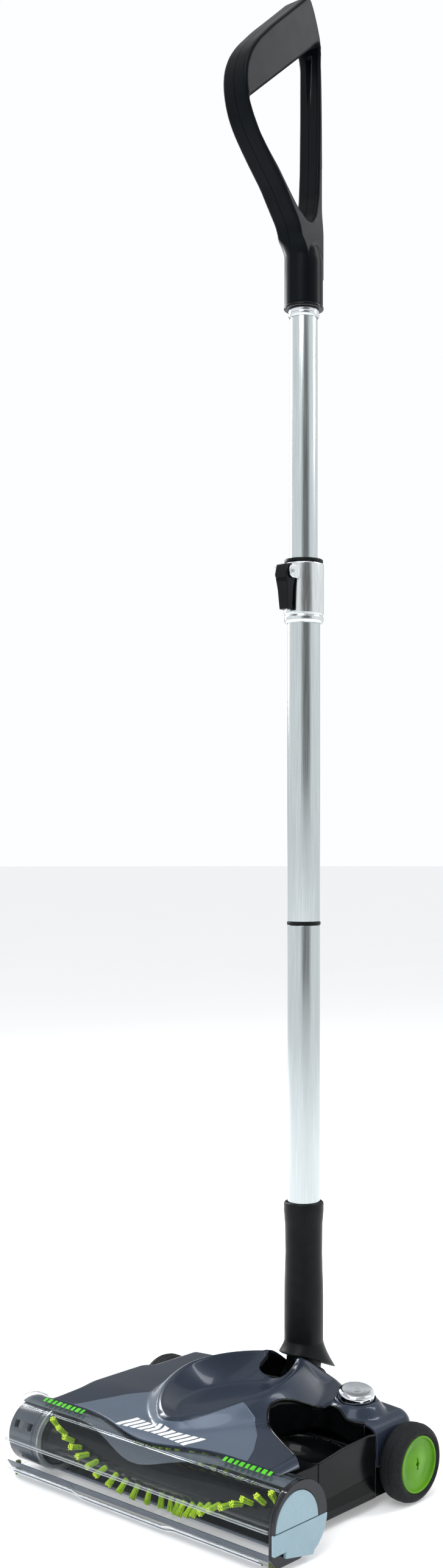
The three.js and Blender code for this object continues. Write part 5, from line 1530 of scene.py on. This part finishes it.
def shape_handle(mesh):
    """Draws the rear strut in, and brings the foot of the loop down to the round stem."""
    count = len(mesh.vertices)
    co = np.empty(count * 3)
    mesh.vertices.foreach_get("co", co)
    co = co.reshape(-1, 3)
    x, y, z = ((co - np.array(LAYOUT)) / MM).T
    strut = smooth((y + 6) / 8) * smooth((z - 945) / 25) * (1 - smooth((z - 1078) / 22))
    allowed = STEM_R + np.where(y > 0, 0.4, 16 * smooth((z - 928) / 34))
    spread = np.maximum(np.hypot(x, y), 1e-6)
    held = np.where(z < np.where(y > 0, 1000, 962), np.minimum(1, allowed / spread), 1)
    co[:, 0] = x * mix(1, STRUT_HALF / GRIP_HALF, strut) * held * MM + LAYOUT.x
    co[:, 1] = y * held * MM + LAYOUT.y
    mesh.vertices.foreach_set("co", co.ravel())
    mesh.update()


# ---------- Feet, screws and what the CAD keeps ----------


def make_glide_pads():
    """Two skids with turned-up ends under the head."""
    for side in ("left", "right"):
        low, high = box(f"glide_pad_{side}")
        front, rear, bottom = low.y, high.y, low.z
        outline = [(front, high.z), (front, bottom + 3), (front + 1.2, bottom + 1), (front + 3.5, bottom),
                   (rear - 3.5, bottom), (rear - 1.2, bottom + 1), (rear, bottom + 3), (rear, high.z)]
        slab(f"glide_pad_{side}_moulded", fillet(outline, 1.5, 3), low.x, high.x, "belt", "head",
             [f"glide_pad_{side}"], round_by=0.8)


CAD_SOFTENED = {"chassis": 0.5, "tilt_bracket": 0.6, "battery_pack": 0.4, "circuit_board": 0.2,
                "charging_socket": 0.4, "motor": 0.5, "switch_body": 0.3}


def finish_cad():
    """Gives each CAD node that still shows its finish, and softens the moulded ones' edges."""
    for name, node in frame["nodes"].items():
        finish = M[SLOT_FINISH[SLOT_OF[name]]]
        node.data.materials.clear()
        node.data.materials.append(finish)
        if name in CAD_SOFTENED:
            soften(node, CAD_SOFTENED[name], 2, 40)


# ---------- Room and light ----------


FLOOR_R = 30.0  # metres, as everything of the studio is
FLOOR_GLOW = 0.27


def floor_material():
    """Matt and nearly white, with a faint glow that keeps it pale far from the lights."""
    made = Shader("room", Specular_IOR_Level=0.2, Emission_Color=(1, 1, 1, 1), Emission_Strength=FLOOR_GLOW,
                  Roughness=0.7)
    made.tint(made.noise(2.2, 3), (244.4, 245.4, 246.4), (246, 247, 248))
    return made.material


def make_room():
    """A pale floor, wide enough to reach the horizon from any side."""
    mesh = bpy.data.meshes.new("room")
    mesh.from_pydata([(x, y, 0) for x, y in arc((0, 0), FLOOR_R, 0, 360, 96)[:-1]], [], [tuple(range(96))])
    mesh.materials.append(floor_material())
    add("room", mesh)


# Darker parts of the studio: azimuth and elevation, degrees from there to where the card is full and to where
# it ends, and the share of the light that it leaves
CARDS = ((57, 0, 14, 42, 0.18), (-134, 8, 20, 36, 0.3), (0, 90, 30, 62, 0.55))


def towards(azimuth, elevation):
    """A direction from the object. Azimuth 0 is in front and 90 on the right."""
    a, e = math.radians(azimuth), math.radians(elevation)
    return Vector((math.sin(a) * math.cos(e), -math.cos(a) * math.cos(e), math.sin(e)))


def make_world():
    """A white studio with softly edged grey cards, which only show as dark bands in metal and gloss."""
    world = bpy.data.worlds.new("studio")
    world.use_nodes = True
    tree = world.node_tree
    back = tree.nodes["Background"]
    back.inputs["Color"].default_value = (0.975, 0.99, 1, 1)
    direction = tree.nodes.new("ShaderNodeTexCoord").outputs["Generated"]
    strength = None
    for azimuth, elevation, inner, outer, dim in CARDS:
        facing = tree.nodes.new("ShaderNodeVectorMath")
        facing.operation = "DOT_PRODUCT"
        facing.inputs[1].default_value = towards(azimuth, elevation)
        card = tree.nodes.new("ShaderNodeMapRange")
        card.interpolation_type = "SMOOTHSTEP"
        edge, full = math.cos(math.radians(outer)), math.cos(math.radians(inner))
        for key, value in (("From Min", edge), ("From Max", full), ("To Min", 1.0), ("To Max", dim)):
            card.inputs[key].default_value = value
        tree.links.new(direction, facing.inputs[0])
        tree.links.new(facing.outputs["Value"], card.inputs["Value"])
        if strength:
            both = tree.nodes.new("ShaderNodeMath")
            both.operation = "MULTIPLY"
            tree.links.new(strength, both.inputs[0])
            tree.links.new(card.outputs["Result"], both.inputs[1])
            strength = both.outputs["Value"]
        else:
            strength = card.outputs["Result"]
    seen = tree.nodes.new("ShaderNodeMath")
    seen.operation = "MAXIMUM"
    tree.links.new(tree.nodes.new("ShaderNodeLightPath").outputs["Is Camera Ray"], seen.inputs[0])
    tree.links.new(strength, seen.inputs[1])
    tree.links.new(seen.outputs["Value"], back.inputs["Strength"])
    bpy.context.scene.world = world


def area_light(name, azimuth, elevation, distance, size, power, aim_z=0.1):
    """A soft box that faces a point at a height on the object's axis."""
    data = bpy.data.lights.new(name, "AREA")
    data.shape = "RECTANGLE"
    data.size, data.size_y = size
    data.energy = power
    made = add(name, data)
    out = towards(azimuth, elevation)
    made.location = Vector((0, 0, aim_z)) + out * distance
    made.rotation_euler = out.to_track_quat("Z", "Y").to_euler()


def make_lights():
    area_light("key", 22, 50, 2.4, (1.2, 1.6), 24, aim_z=0.45)
    area_light("side", 143, 45, 2.2, (0.3, 1.2), 13)
    area_light("strip", -86, 43, 2.4, (0.08, 1.0), 6)
    area_light("dish", -100, 27, 2.4, (0.45, 0.8), 20)
    area_light("top", 10, 85, 2.2, (1.4, 1.4), 6)


for make in (
    make_window, make_apron_rails, make_seam_rims, make_left_cap, make_right_end, make_chamber,
    make_drum, make_bristles, make_core, make_edge_tufts, make_bonnet, make_tongue, make_mark,
    make_window_print, make_recess, make_slot_lining, make_tray, make_tray_face, make_side_panel,
    make_wheels, make_button, make_neck, make_grip, make_skirt, make_tubes, make_collar,
    make_lever, make_handle, make_glide_pads, finish_cad, make_room, make_world, make_lights,
):
    make()
bpy.context.scene.view_settings.view_transform = "Standard"
